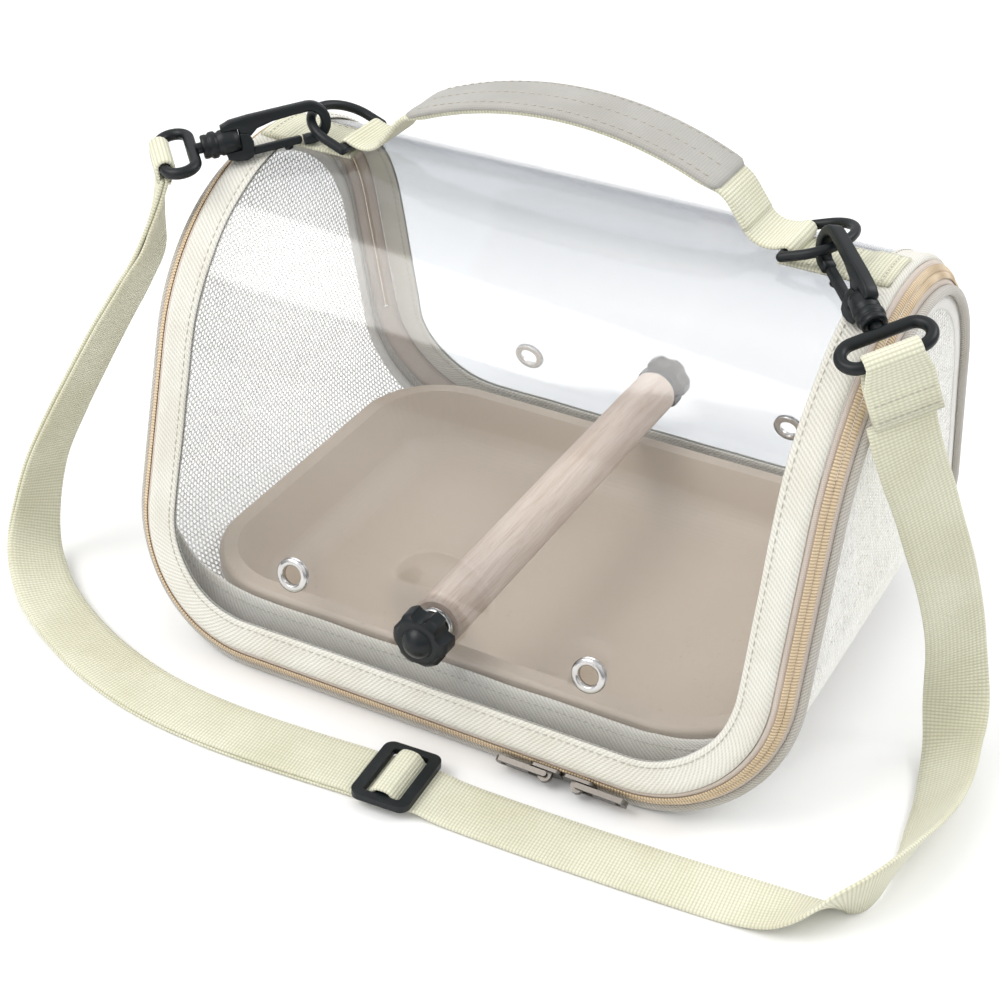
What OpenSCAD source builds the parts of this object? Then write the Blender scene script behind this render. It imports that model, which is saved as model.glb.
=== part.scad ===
// Soft-sided bird travel carrier. A fabric base with curved ends carries net end
// panels. A clear crowned cover, bound at its rim and zipped to the base along a
// chamfered seam, holds the wooden perch, the carrying handle and the shoulder
// strap, and opens about its back bottom edge. A food-tray floor lies inside.
// Units: millimetres. X runs along the body, -Y is the front, Z is up, floor at 0.

/* [Body] */
// Length between the two end planes
body_l = 282; // [270:1:296]
// Depth at the base
body_d = 230; // [224:1:238]
// Height to the top of the crown
body_h = 186; // [180:1:192]
// Radius of the crown
crown_r = 84; // [81:1:87]
// Radius of the base's curved ends
base_curve_r = 57; // [52:1:60]
// Thickness of the curved ends and end panels
gusset_t = 1.5; // [1.2:0.1:2]
// Thickness of the stiffened floor
floor_t = 2.4; // [2:0.1:3]

/* [Cover and binding] */
// Thickness of the clear sheet
sheet_t = 1; // [0.6:0.1:1.2]
// Width of the rim binding
bind_w = 12.5; // [11:0.5:14]
// Thickness of the binding on each side of the sheet
bind_t = 0.9; // [0.7:0.1:1.1]
// Radius of the rim's bottom corners
rim_corner_r = 50; // [44:1:54]
// Width of the chamfered seam, along the body
seam = 8; // [8:0.5:10]
// Radius of the piping
piping_r = 2; // [1.6:0.1:2.2]

/* [Zip] */
// Thickness of the zip tape
tape_t = 0.6; // [0.5:0.1:0.7]
// Width of the open gap between the two rows of teeth
zip_gap = 2; // [2:0.1:2.4]
// Width of each row of teeth
coil_w = 2.05; // [1.8:0.05:2.2]
// Height of the rows of teeth
coil_h = 1.1; // [0.8:0.1:1.1]
// Length of a zip slider
zip_slider_l = 13; // [11:0.5:14]
// Place of the pair of sliders along the front
zip_x = 60; // [40:1:62]

/* [Net ends] */
// Pitch of the net's openings
net_pitch = 11; // [10:0.5:14]
// Corner radius of one opening
net_hole_r = 4.6; // [3.6:0.1:4.9]
// Solid border of the net panel
net_border = 6; // [5:0.5:9]

/* [Tray] */
// Space between the tray's rim and each end of the carrier
tray_end_gap = 17; // [16:0.5:23]
// Space between the tray's rim and the carrier's front and back
tray_side_gap = 22; // [21:0.5:27]
// Height of the tray
tray_h = 28; // [24:1:30]
// Wall of the tray
tray_t = 2.2; // [1.8:0.1:2.6]
// Corner radius of the tray's rim
tray_corner_r = 40; // [36:1:44]
// Radius of the curve from floor to wall
tray_curve_r = 20; // [18:1:22]
// Depth of the turned-down rim
tray_skirt = 8; // [5:0.5:8]

/* [Perch] */
// Diameter of the wooden perch
perch_dia = 20; // [16:0.5:20]
// Height of the perch above the floor
perch_z = 50; // [47:1:56]
// Diameter of the knob's star head
knob_dia = 23; // [22:0.5:26]
// Depth of the star head
knob_head_l = 9; // [7:0.5:10]
// Diameter of the knob's neck
knob_neck_dia = 12; // [11:0.5:13.5]
// Radius of the threaded stud
stud_r = 3; // [2.5:0.1:3.2]
// Number of lobes on the knob
knob_lobes = 6; // [5:1:8]

/* [Grommets] */
// Radius of the hole through a grommet
grommet_bore_r = 4; // [3.8:0.1:4.2]
// Outer diameter of a grommet
grommet_dia = 14; // [13:0.5:15]
// Distance of the side grommets from the middle
grommet_x = 64; // [54:1:74]

/* [Handle] */
// Width of the webbing
web_w = 25; // [22:1:26]
// Thickness of the handle's webbing
web_t = 2; // [1.6:0.1:2.2]
// Height of the handle's top above the floor
handle_top = 222; // [218:1:226]
// Half length of the padded wrap
wrap_half = 64; // [60:1:66]
// Width of the padded wrap
wrap_w = 29; // [28:0.5:32]
// Thickness of the padded wrap
wrap_t = 5; // [4:0.5:6]
// Length of webbing stitched down on the cover at each side
tab_l = 32; // [30:1:34]

/* [Rings and hooks] */
// Wire radius of a D-ring
dring_wire_r = 1.9; // [1.7:0.1:2]
// Distance of the D-rings from the middle
dring_x = 91; // [89:1:92]
// Reach of a D-ring from its bar
dring_reach = 22; // [21.5:0.5:22]
// Tilt of the D-rings as they lie
dring_tilt = 20; // [19:0.5:21]
// Wire radius of a strap ring
ring_wire_r = 2.3; // [2:0.1:2.4]
// Half width of a strap ring
ring_half = 16; // [15.5:0.5:17]
// Distance of a strap ring's bar from the swivel
ring_reach = 22; // [21:0.5:23]
// Distance of the hook's bend from the swivel
hook_reach = 37.2; // [37:0.1:37.6]
// Inner radius of the hook's bend
hook_eye_r = 4.3; // [4.2:0.1:4.5]
// Width of the hook's bar
hook_bar_w = 3.8; // [3.4:0.1:3.8]
// Thickness of the hook's bar
hook_bar_t = 4.6; // [4.2:0.1:5]
// Radius of the hook's barrel
barrel_r = 5.5; // [5.2:0.1:5.6]

/* [Shoulder strap] */
// Thickness of the shoulder strap
strap_t = 1.6; // [1.2:0.1:1.8]
// Length of the strap slider, along the strap
slider_l = 24; // [22:1:26]
// Thickness of the strap slider
slider_t = 2.8; // [2.4:0.1:3.2]
// Width of the strap slider's bars
slider_bar = 4.5; // [4:0.1:5]

/* [Hidden] */
$fn = 64;
run_gap = 0.05;
clear = 0.1;

// Body profile: leaning front and back faces that run into the round crown
half_d = body_d / 2;
crown_z = body_h - crown_r;
lean = 90 - atan2(crown_z, half_d) - asin(crown_r / norm([crown_z, half_d]));
face_l = sqrt(half_d * half_d + crown_z * crown_z - crown_r * crown_r);

// Rim path of the cover, and the seam's section beside it:
// u points out of the rim in the panel's plane, v points out of the panel
edge_x = body_l / 2 - seam;
piping_u = seam + 0.5;
piping_v = -10;
tape_u = 0.3;
tape_v = -0.6;
seam_a = atan2(piping_v - tape_v, piping_u - tape_u);
seam_l = norm([piping_v - tape_v, piping_u - tape_u]) - piping_r;
seam_mid = seam_l / 2;
edge_s = piping_u + (piping_r - piping_v * sin(lean)) / cos(lean);
corner_x = edge_x - rim_corner_r;
corner_s = edge_s + rim_corner_r;
gusset_v = piping_v - piping_r - clear;
slot_w = bind_w - 2;
sheet_in = bind_w - slot_w + clear;
run_break = 0.5;

// Base
base_x = body_l / 2 - base_curve_r;
base_y = half_d + gusset_v / cos(lean);
net_r = crown_r + gusset_v;

// Tray
tray_l = body_l - 2 * tray_end_gap;
tray_d = body_d - 2 * tray_side_gap;
tray_z = floor_t + clear;
tray_top = tray_z + tray_h;
tray_lean = 60;
tray_floor_in = tray_curve_r + 14;
tray_floor_corner = tray_corner_r - tray_floor_in;

// Perch, seats and knobs
seat_r = grommet_dia / 2 + 4;
seat_y = half_d - perch_z * tan(lean) + 0.5;
seat_s = perch_z / cos(lean);
flange_t = 0.9;
perch_y = seat_y - sheet_t - flange_t;
barrel_wall = 0.8;
stud_in = 14;
knob_y = seat_y + flange_t + clear;
knob_neck_l = 4;
knob_shoulder = 3.5;
knob_hub_r = 7.2;
knob_hub_rise = 4;
valley_r = 4.5;
valley_out = 2;

// Handle line: a long arc, a shoulder, a short slope and a turn into the fold
dring_half = web_w / 2 + dring_wire_r + 0.7;
fold_r = dring_wire_r + run_gap;
fold_out = fold_r + 1.5;
dring_z = body_h + run_gap + fold_out;
tab_r = crown_r + run_gap;
tab_t = 1.4;
root_z = dring_z + 1;
handle_r = 148.5;
shoulder_r = 14;
turn_r = 10;
shoulder_a = 53;
wrap_a = asin(wrap_half / handle_r);
handle_cz = handle_top - handle_r;
shoulder_c = [(handle_r - shoulder_r) * sin(wrap_a), handle_cz + (handle_r - shoulder_r) * cos(wrap_a)];
shoulder_p = shoulder_c + shoulder_r * [sin(shoulder_a), cos(shoulder_a)];
turn_cz = root_z + turn_r;
turn_top_z = turn_cz - turn_r * cos(shoulder_a);
slope_l = (shoulder_p[1] - turn_top_z) / sin(shoulder_a);
turn_cx = shoulder_p[0] + slope_l * cos(shoulder_a) + turn_r * sin(shoulder_a);
swing_x = turn_cx - turn_r * sin(shoulder_a) - 0.6;
root_gap = 0.4;

// Hook place: the swivel's centre, the turns that aim it, and its ring's own turn
right_swivel = [132.1, -38.3, 188.1];
right_aim = [0, 78.6, 131.7];
right_roll = 10;
right_ring_roll = -20;
left_swivel = [-136, -34.7, 189.4];
left_aim = [0, 80.3, 42.2];
left_roll = -12;
left_ring_roll = 4;
barrel_half = 6;
swivel_r = 2.2;
swivel_head_r = 3.4;
swivel_head_t = 1.8;
swivel_gap = 0.2;
gate_x = hook_eye_r + 1.5;
gate_z = barrel_half + 4;
gate_pin_r = 1.2;
gate_w = 3.6;
gate_t = 3;
fork_w = 6.6;
nose_l = 4;
fold_wall = 1.6;

// Strap route, from the right ring down to the floor, along the front, through
// the slider and up to the left ring: place, then the direction of the width
strap_right = [
  [151.7, -51.95, 160.6, 0.72, 0.62, 0.3],
  [153.9, -51, 152.9, 0.7, 0.66, 0.3],
  [157.5, -47.5, 140, 0.67, 0.69, 0.3],
  [161.4, -41, 124.5, 0.64, 0.72, 0.32],
  [165.5, -35, 107.5, 0.63, 0.73, 0.34],
  [169.6, -27.5, 89, 0.62, 0.72, 0.36],
  [172.4, -21, 72.5, 0.62, 0.7, 0.4],
  [174.8, -15.5, 55.5, 0.64, 0.66, 0.42],
  [176.9, -12.8, 38.5, 0.7, 0.58, 0.42],
  [179.6, -14.5, 23.5, 0.8, 0.4, 0.45],
  [182.6, -22.5, 13.2, 0.85, 0.15, 0.5],
  [185, -33, 9.6, 0.84, 0, 0.52],
  [187.2, -45, 9.2, 0.8, 0, 0.6],
  [188.6, -57, 9.8, 0.74, 0, 0.67],
  [189.2, -70, 10.8, 0.66, 0, 0.75],
  [189.3, -83, 11.8, 0.52, -0.03, 0.85],
  [188.2, -96.5, 13, 0.36, -0.07, 0.93],
  [186, -109, 13.3, 0.22, -0.12, 0.97],
  [182.2, -119, 12.6, 0.12, -0.25, 0.95],
  [176.5, -125.2, 10.8, 0.1, -0.45, 0.86],
  [170.2, -128.2, 8, 0.1, -0.72, 0.62],
  [162.4, -130.4, 4.7, 0.05, -0.92, 0.33],
  [154.5, -131.6, 2.4, 0.03, -0.99, 0.12],
  [141, -133, 1.1, 0.02, -1, 0],
  [112, -135.2, 1, 0.05, -1, 0],
  [78, -137, 1, 0.04, -1, 0],
  [46, -138, 1, 0.04, -1, 0],
  [27, -138.4, 1.4, 0.05, -1, 0],
  [19, -138.7, 2.7, 0.05, -1, 0]
];
// Hump over the slider's middle bar
strap_hump = [
  [11.8, -139.04, 3, 0.0524, -1, 0],
  [9, -139.19, 6.5, 0.0524, -1, 0],
  [7.4, -139.27, 7.9, 0.0524, -1, 0],
  [2.6, -139.53, 7.9, 0.0524, -1, 0],
  [1, -139.61, 6.5, 0.0524, -1, 0],
  [-1.8, -139.76, 3, 0.0524, -1, 0]
];
strap_left = [
  [-14, -140.7, 2.9, 0.06, -1, 0],
  [-40, -142.6, 2.9, 0.04, -1, 0],
  [-72, -143.6, 2.9, 0, -1, 0],
  [-104, -141, 2.9, -0.1, -1, 0],
  [-132, -134, 2.9, -0.3, -1, 0],
  [-156, -124, 3.2, -0.45, -0.95, 0.05],
  [-179, -111.5, 4.8, -0.6, -0.85, 0.1],
  [-194, -99.5, 8.2, -0.62, -0.7, 0.3],
  [-202.6, -90, 13.5, -0.4, -0.8, 0.42],
  [-206.4, -82, 24, -0.2, -0.9, 0.4],
  [-205.4, -73.5, 44, -0.05, -0.93, 0.36],
  [-198, -67, 65, 0, -0.93, 0.36],
  [-188.6, -61, 86.5, 0.05, -0.92, 0.38],
  [-178, -56, 108.5, 0.1, -0.9, 0.4],
  [-167.2, -52.8, 128.5, 0.18, -0.88, 0.42],
  [-159, -51.4, 145, 0.27, -0.84, 0.42],
  [-155.8, -50.3, 159.5, 0.42, -0.8, 0.28],
  [-153.6, -49.5, 171, 0.56, -0.78, 0.1],
  [-152.05, -48.85, 181.5, 0.68, -0.73, -0.07]
];
// Return layer's end at the slider's middle bar
return_end = [
  [6, -139.35, 3.1, 0.0524, -1, 0],
  [-3, -139.85, 1.2, 0.0524, -1, 0]
];
layer_gap = 0.25;
// Stitched end behind the right ring's fold
tongue_route = [
  [147.1, -53.9, 177.4, 0.75, 0.57, 0.33],
  [149.3, -53, 169, 0.74, 0.59, 0.32],
  [151.6, -52, 161, 0.72, 0.62, 0.3]
];
slider_place = [5, -139.4, 4];
slider_turn = 3;

// ---- Frames and helpers ----

// Puts a drawing on the front face: X along, Y up the slope, Z outward
module front_face() {
  translate([0, -half_d, 0])
    rotate([90 - lean, 0, 0])
      children();
}

module both_ends() {
  children();
  mirror([1, 0, 0]) children();
}

module both_faces() {
  children();
  mirror([0, 1, 0]) children();
}

// Solid drawn in the YZ plane and run along X
module along_x(x0, x1) {
  translate([x0, 0, 0])
    rotate([90, 0, 90])
      linear_extrude(x1 - x0)
        children();
}

module rounded_rect(w, h, r) {
  square([w - 2 * r, h], center = true);
  square([w, h - 2 * r], center = true);
  for (x = [-1, 1], y = [-1, 1])
    translate([x * (w / 2 - r), y * (h / 2 - r)])
      circle(r);
}

// ---- Rim sweeps: a section in (u, v) run round the cover's rim ----

module side_run() {
  front_face()
    translate([edge_x, face_l, 0])
      rotate([90, 0, 0])
        linear_extrude(face_l - corner_s)
          children();
}

module bottom_run() {
  front_face()
    translate([corner_x, edge_s, 0])
      rotate([0, 0, -90])
        rotate([90, 0, 0])
          linear_extrude(2 * corner_x)
            children();
}

module corner_run(stop) {
  front_face()
    translate([corner_x, corner_s, 0])
      rotate([0, 0, -90])
        rotate_extrude(angle = 90 - stop)
          translate([rim_corner_r, 0])
            children();
}

module arch_run() {
  translate([0, 0, crown_z])
    rotate([0, 90, 0])
      rotate([0, 0, 90 + lean])
        rotate_extrude(angle = 180 - 2 * lean, $fn = 128)
          translate([crown_r, edge_x])
            mirror([1, -1])
              children();
}

// The zip's run: up both ends, over the crown and along the front
module zip_run() {
  both_ends() {
    arch_run() children();
    both_faces() side_run() children();
    corner_run(0) children();
  }
  bottom_run() children();
}

// The back edge, where the cover stays sewn down
module back_run(stop) {
  mirror([0, 1, 0]) {
    both_ends() corner_run(stop) children();
    bottom_run() children();
  }
}

module seam_strip(t0, t1, w0, w1) {
  translate([tape_u, tape_v])
    rotate(seam_a)
      translate([t0, w0])
        square([t1 - t0, w1 - w0]);
}

// ---- Base ----

module base_panel() {
  color("tan")
    intersection() {
      rotate([90, 0, 0])
        linear_extrude(body_d, center = true) {
          translate([-base_x, 0])
            square([2 * base_x, floor_t]);
          for (m = [0, 1])
            mirror([m, 0])
              translate([base_x, base_curve_r])
                intersection() {
                  difference() {
                    circle(base_curve_r, $fn = 128);
                    circle(base_curve_r - gusset_t, $fn = 128);
                  }
                  translate([0, -base_curve_r])
                    square(base_curve_r);
                }
        }
      along_x(-body_l / 2, body_l / 2)
        base_outline();
    }
}

// Side view of the space inside the seam, up to the curved ends' top
module base_outline() {
  top_y = base_y - base_curve_r * tan(lean);
  polygon([[-base_y, 0], [base_y, 0], [top_y, base_curve_r], [-top_y, base_curve_r]]);
}

module net_outline() {
  low_y = base_y - base_curve_r * tan(lean);
  top_z = crown_z + net_r * sin(lean);
  top_y = net_r * cos(lean);
  polygon([[-low_y, base_curve_r], [low_y, base_curve_r], [top_y, top_z], [-top_y, top_z]]);
  intersection() {
    translate([0, crown_z])
      circle(net_r, $fn = 128);
    translate([-crown_r, base_curve_r])
      square([2 * crown_r, body_h]);
  }
}

// Whether an opening at (y, z) keeps the panel's border
function net_open(y, z) =
  let (m = net_border + net_hole_r)
    z > base_curve_r + m
    && (base_y - z * tan(lean) - abs(y)) * cos(lean) > m
    && (z < crown_z + net_r * sin(lean) || norm([y, z - crown_z]) < net_r - m);

module end_mesh() {
  row = net_pitch * sqrt(3) / 2;
  color("white")
    along_x(body_l / 2 - gusset_t, body_l / 2)
      difference() {
        net_outline();
        for (j = [-10 : 10], i = [-10 : 10])
          let (y = (i + (j % 2 == 0 ? 0 : 0.5)) * net_pitch, z = crown_z + 8 + j * row)
            if (net_open(y, z))
              translate([y, z])
                rotate(30)
                  circle(net_hole_r, $fn = 6);
      }
}

module right_end_mesh() {
  end_mesh();
}

module left_end_mesh() {
  mirror([1, 0, 0])
    end_mesh();
}

module gusset_piping() {
  color("silver") {
    zip_run() piping_section();
    back_run(0) piping_section();
  }
}

module piping_section() {
  translate([piping_u, piping_v])
    circle(piping_r, $fn = 32);
}

module zip_tape_base() {
  color("rosybrown")
    zip_run()
      seam_strip(seam_mid + zip_gap / 2, seam_l - run_gap, -tape_t / 2, tape_t / 2);
}

module zip_coil_base() {
  color("peru")
    zip_run()
      seam_strip(seam_mid + zip_gap / 2, seam_mid + zip_gap / 2 + coil_w, tape_t / 2, tape_t / 2 + coil_h);
}

module back_hinge_strip() {
  color("rosybrown")
    back_run(run_break)
      seam_strip(0.05, seam_l - run_gap, -tape_t / 2, tape_t / 2);
}

// ---- Tray ----

// Wall of the tray: 0 is the rim's outer edge, inward is negative
module tray_section() {
  bend_z = tray_z + tray_t + tray_curve_r;
  wall_x = -tray_floor_in + tray_curve_r * sin(tray_lean);
  wall_z = bend_z - tray_curve_r * cos(tray_lean);
  back_x = wall_x + tray_t * sin(tray_lean);
  back_z = wall_z - tray_t * cos(tray_lean);
  rim_z = tray_top - tray_t;
  translate([-tray_floor_in, bend_z])
    intersection() {
      difference() {
        circle(tray_curve_r + tray_t);
        circle(tray_curve_r);
      }
      polygon([[0, 0], [0, -40], [40 * sin(tray_lean), -40], [40 * sin(tray_lean), -40 * cos(tray_lean)]]);
    }
  polygon([
    [wall_x, wall_z],
    [back_x, back_z],
    [back_x + (rim_z - back_z) / tan(tray_lean), rim_z],
    [back_x + (rim_z - back_z) / tan(tray_lean), tray_top],
    [wall_x + (tray_top - wall_z) / tan(tray_lean), tray_top]
  ]);
  translate([back_x + (rim_z - back_z) / tan(tray_lean) - 0.01, rim_z])
    square([-tray_t - back_x - (rim_z - back_z) / tan(tray_lean) + 0.02, tray_t]);
  translate([-tray_t, tray_top - tray_skirt])
    square([tray_t, tray_skirt - tray_t]);
  translate([-tray_t, rim_z])
    intersection() {
      circle(tray_t);
      square(tray_t);
    }
}

module tray() {
  sx = tray_l / 2 - tray_corner_r;
  sy = tray_d / 2 - tray_corner_r;
  color("tan") {
    for (k = [0, 1]) {
      rotate(180 * k) {
        translate([tray_l / 2, sy, 0])
          rotate([90, 0, 0])
            linear_extrude(2 * sy)
              tray_section();
        translate([-sx, tray_d / 2, 0])
          rotate([90, 0, 90])
            linear_extrude(2 * sx)
              tray_section();
        translate([sx, sy, 0])
          rotate_extrude(angle = 90)
            translate([tray_corner_r, 0])
              tray_section();
        translate([-sx, sy, 0])
          rotate(90)
            rotate_extrude(angle = 90)
              translate([tray_corner_r, 0])
                tray_section();
      }
    }
    translate([0, 0, tray_z])
      linear_extrude(tray_t)
        rounded_rect(tray_l - 2 * tray_floor_in, tray_d - 2 * tray_floor_in, tray_floor_corner);
  }
}

// ---- Zip sliders ----

// Front bottom seam as a frame: X along, Y from piping to rim, Z outward
module seam_frame(x) {
  front_face()
    translate([x, edge_s - tape_u, tape_v])
      rotate([-seam_a, 0, 0])
        children();
}

shell_t = 1.3;
post_w = 1.2;
bail_r = 1.05;
bail_z = tape_t / 2 + coil_h + 0.3 + shell_t + 1.4;
slider_out = seam_mid + zip_gap / 2 + coil_w + 1.2;
slider_in = seam_mid - zip_gap / 2 - coil_w - 0.4;
pull_l = 20;

module zip_slider() {
  top = tape_t / 2 + coil_h + 0.3;
  nose = 3;
  difference() {
    union() {
      translate([0, -(slider_out + slider_in) / 2, top])
        linear_extrude(shell_t)
          rounded_rect(zip_slider_l, slider_out - slider_in, 2);
      translate([0, -(slider_out + seam_mid - 0.6) / 2, -tape_t / 2 - 0.3 - shell_t])
        linear_extrude(shell_t)
          rounded_rect(zip_slider_l, slider_out - seam_mid + 0.6, 1.2);
      translate([zip_slider_l / 2 - nose - 1, -seam_mid - post_w / 2, -tape_t / 2 - 0.3 - shell_t / 2])
        cube([nose, post_w, top + tape_t / 2 + 0.3 + shell_t]);
      translate([-zip_slider_l / 2 + 2, -slider_out, tape_t / 2 + 0.3])
        cube([zip_slider_l - 4, 0.8, coil_h + 0.5]);
      translate([0, -seam_mid + 1.2, top + shell_t - 0.1])
        rotate([90, 0, 0])
          linear_extrude(2.4) {
            translate([-2.6, 0])
              square([5.2, bail_z - top - shell_t + 0.1]);
            translate([0, bail_z - top - shell_t + 0.1])
              circle(2.6);
          }
    }
    translate([0, -seam_mid + 3, bail_z])
      rotate([90, 0, 0])
        cylinder(r = bail_r + run_gap, h = 6);
  }
}

module zip_pull() {
  arm = 1.2;
  difference() {
    union() {
      translate([0, -seam_mid + 1.4 + arm, bail_z])
        rotate([90, 0, 0])
          cylinder(r = bail_r, h = 2.8 + 2 * arm);
      for (y = [1.4, -1.4 - arm])
        translate([-8, -seam_mid + y, bail_z - bail_r])
          cube([8, arm, 2 * bail_r]);
      translate([-pull_l / 2 - 3.4, -seam_mid, bail_z - bail_r])
        linear_extrude(2 * bail_r)
          rounded_rect(pull_l - 6.4, 5.2, 1.6);
    }
    translate([-pull_l + 3, -seam_mid, bail_z - 3])
      cylinder(r = 1.2, h = 6);
  }
}

module left_zip_slider() {
  color("dimgray")
    seam_frame(zip_x - zip_slider_l / 2 - 0.3)
      zip_slider();
}

module right_zip_slider() {
  color("dimgray")
    seam_frame(zip_x + zip_slider_l / 2 + 0.3)
      mirror([1, 0, 0])
        zip_slider();
}

module left_zip_pull() {
  color("gray")
    seam_frame(zip_x - zip_slider_l / 2 - 0.3)
      zip_pull();
}

module right_zip_pull() {
  color("gray")
    seam_frame(zip_x + zip_slider_l / 2 + 0.3)
      mirror([1, 0, 0])
        zip_pull();
}

// ---- Cover ----

module sheet_outline() {
  r = rim_corner_r - sheet_in;
  xs = edge_x - sheet_in;
  translate([-xs, corner_s])
    square([2 * xs, face_l - corner_s]);
  translate([-corner_x, edge_s + sheet_in])
    square([2 * corner_x, r]);
  for (m = [-1, 1])
    translate([m * corner_x, corner_s])
      circle(r, $fn = 96);
}

module side_grommet_places() {
  for (m = [-1, 1])
    translate([m * grommet_x, seat_s, 0])
      children();
}

// Half spaces just inside and just outside the leaning front sheet
module sheet_side(z0) {
  front_face()
    translate([-15, seat_s - 25, z0])
      cube([30, 50, 14]);
}

module perch_seat() {
  difference() {
    union() {
      translate([0, -seat_y + sheet_t, perch_z])
        rotate([90, 0, 0])
          cylinder(r = seat_r, h = sheet_t);
      intersection() {
        translate([0, -seat_y + 8, perch_z])
          rotate([90, 0, 0])
            difference() {
              cylinder(r = seat_r, h = 16);
              translate([0, 0, -1])
                cylinder(r = seat_r - sheet_t, h = 18);
            }
        union() {
          intersection() {
            sheet_side(-14);
            translate([-15, -seat_y - 15, perch_z - 15])
              cube([30, 15 + sheet_t, 30]);
          }
          intersection() {
            sheet_side(-sheet_t);
            translate([-15, -seat_y, perch_z - 15])
              cube([30, 15, 30]);
          }
        }
      }
    }
    translate([0, -seat_y + 5, perch_z])
      rotate([90, 0, 0])
        cylinder(r = grommet_bore_r + barrel_wall, h = 10);
  }
}

module clear_cover() {
  color("lightcyan", 0.4) {
    both_faces() {
      difference() {
        front_face()
          translate([0, 0, -sheet_t])
            linear_extrude(sheet_t)
              difference() {
                sheet_outline();
                side_grommet_places()
                  circle(grommet_bore_r + barrel_wall);
              }
        translate([0, -seat_y + 12, perch_z])
          rotate([90, 0, 0])
            cylinder(r = seat_r - sheet_t / 2, h = 24);
      }
      perch_seat();
    }
    translate([0, 0, crown_z])
      rotate([0, 90, 0])
        rotate([0, 0, 90 + lean])
          rotate_extrude(angle = 180 - 2 * lean, $fn = 128)
            translate([crown_r - sheet_t, -edge_x + sheet_in])
              square([sheet_t, 2 * (edge_x - sheet_in)]);
  }
}

module cover_binding() {
  color("cornsilk") {
    zip_run() binding_section();
    back_run(0) binding_section();
  }
}

module binding_section() {
  difference() {
    translate([-bind_w, -sheet_t - bind_t])
      square([bind_w, sheet_t + 2 * bind_t]);
    translate([-bind_w - 1, -sheet_t - run_gap])
      square([slot_w + 1, sheet_t + 2 * run_gap]);
  }
}

module zip_tape_cover() {
  color("rosybrown")
    zip_run()
      seam_strip(0.1, seam_mid - zip_gap / 2, -tape_t / 2, tape_t / 2);
}

module zip_coil_cover() {
  color("peru")
    zip_run()
      seam_strip(seam_mid - zip_gap / 2 - coil_w, seam_mid - zip_gap / 2, tape_t / 2, tape_t / 2 + coil_h);
}

// ---- Grommets, perch and knobs ----

// Rolled eyelet about Z, its outer flange on z = 0
module grommet() {
  rotate_extrude()
    difference() {
      union() {
        translate([grommet_bore_r, -sheet_t - flange_t])
          square([barrel_wall, sheet_t + 2 * flange_t]);
        translate([grommet_bore_r + barrel_wall - 0.01, 0])
          square([grommet_dia / 2 - grommet_bore_r - barrel_wall - 0.44, flange_t]);
        translate([grommet_dia / 2 - 0.45, 0.45])
          circle(0.45, $fn = 24);
        translate([grommet_bore_r + barrel_wall - 0.01, -sheet_t - flange_t])
          square([grommet_dia / 2 - grommet_bore_r - barrel_wall, flange_t]);
      }
      translate([grommet_bore_r - 0.01, flange_t + 0.01])
        rotate(-45)
          square(0.6, center = true);
    }
}

module side_grommet(m, back) {
  color("silver")
    mirror([0, back, 0])
      front_face()
        translate([m * grommet_x, seat_s, 0])
          grommet();
}

module mid_grommet(back) {
  color("silver")
    mirror([0, back, 0])
      translate([0, -seat_y, perch_z])
        rotate([90, 0, 0])
          grommet();
}

module grommet_front_left() {
  side_grommet(-1, 0);
}

module grommet_front_mid() {
  mid_grommet(0);
}

module grommet_front_right() {
  side_grommet(1, 0);
}

module grommet_back_left() {
  side_grommet(-1, 1);
}

module grommet_back_mid() {
  mid_grommet(1);
}

module grommet_back_right() {
  side_grommet(1, 1);
}

module perch_dowel() {
  color("burlywood")
    translate([0, 0, perch_z])
      rotate([90, 0, 0])
        difference() {
          rotate_extrude()
            polygon([
              [0, -perch_y], [perch_dia / 2 - 1, -perch_y], [perch_dia / 2, -perch_y + 1],
              [perch_dia / 2, perch_y - 1], [perch_dia / 2 - 1, perch_y], [0, perch_y]
            ]);
          for (m = [-1, 1])
            translate([0, 0, m * (perch_y - stud_in / 2 - 1)])
              cylinder(r = stud_r + run_gap, h = stud_in + 4, center = true);
        }
}

// Half section of the knob's head: a flat back, a rounded shoulder and a domed hub
module knob_profile() {
  head_r = knob_dia / 2;
  intersection() {
    square([head_r, knob_head_l + knob_hub_rise]);
    union() {
      square([head_r - knob_shoulder, knob_head_l]);
      square([head_r, knob_head_l - knob_shoulder]);
      translate([head_r - knob_shoulder, knob_head_l - knob_shoulder])
        circle(knob_shoulder);
      translate([0, knob_head_l + knob_hub_rise - knob_hub_r])
        circle(knob_hub_r);
    }
  }
}

module knob() {
  head_z = knob_y + knob_neck_l;
  translate([0, 0, perch_z])
    rotate([90, 0, 0]) {
      translate([0, 0, perch_y - stud_in])
        cylinder(r = stud_r, h = knob_y + 1 - perch_y + stud_in);
      translate([0, 0, knob_y])
        cylinder(r = knob_neck_dia / 2, h = knob_neck_l + 0.5);
      translate([0, 0, head_z])
        difference() {
          rotate_extrude()
            knob_profile();
          for (k = [0 : knob_lobes - 1])
            rotate((k + 0.5) * 360 / knob_lobes)
              translate([knob_dia / 2 + valley_out, 0, -1])
                cylinder(r = valley_r, h = knob_head_l + knob_hub_rise + 2);
        }
    }
}

module front_knob() {
  color("black")
    knob();
}

module back_knob() {
  color("black")
    mirror([0, 1, 0])
      knob();
}

// ---- Handle ----

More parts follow.
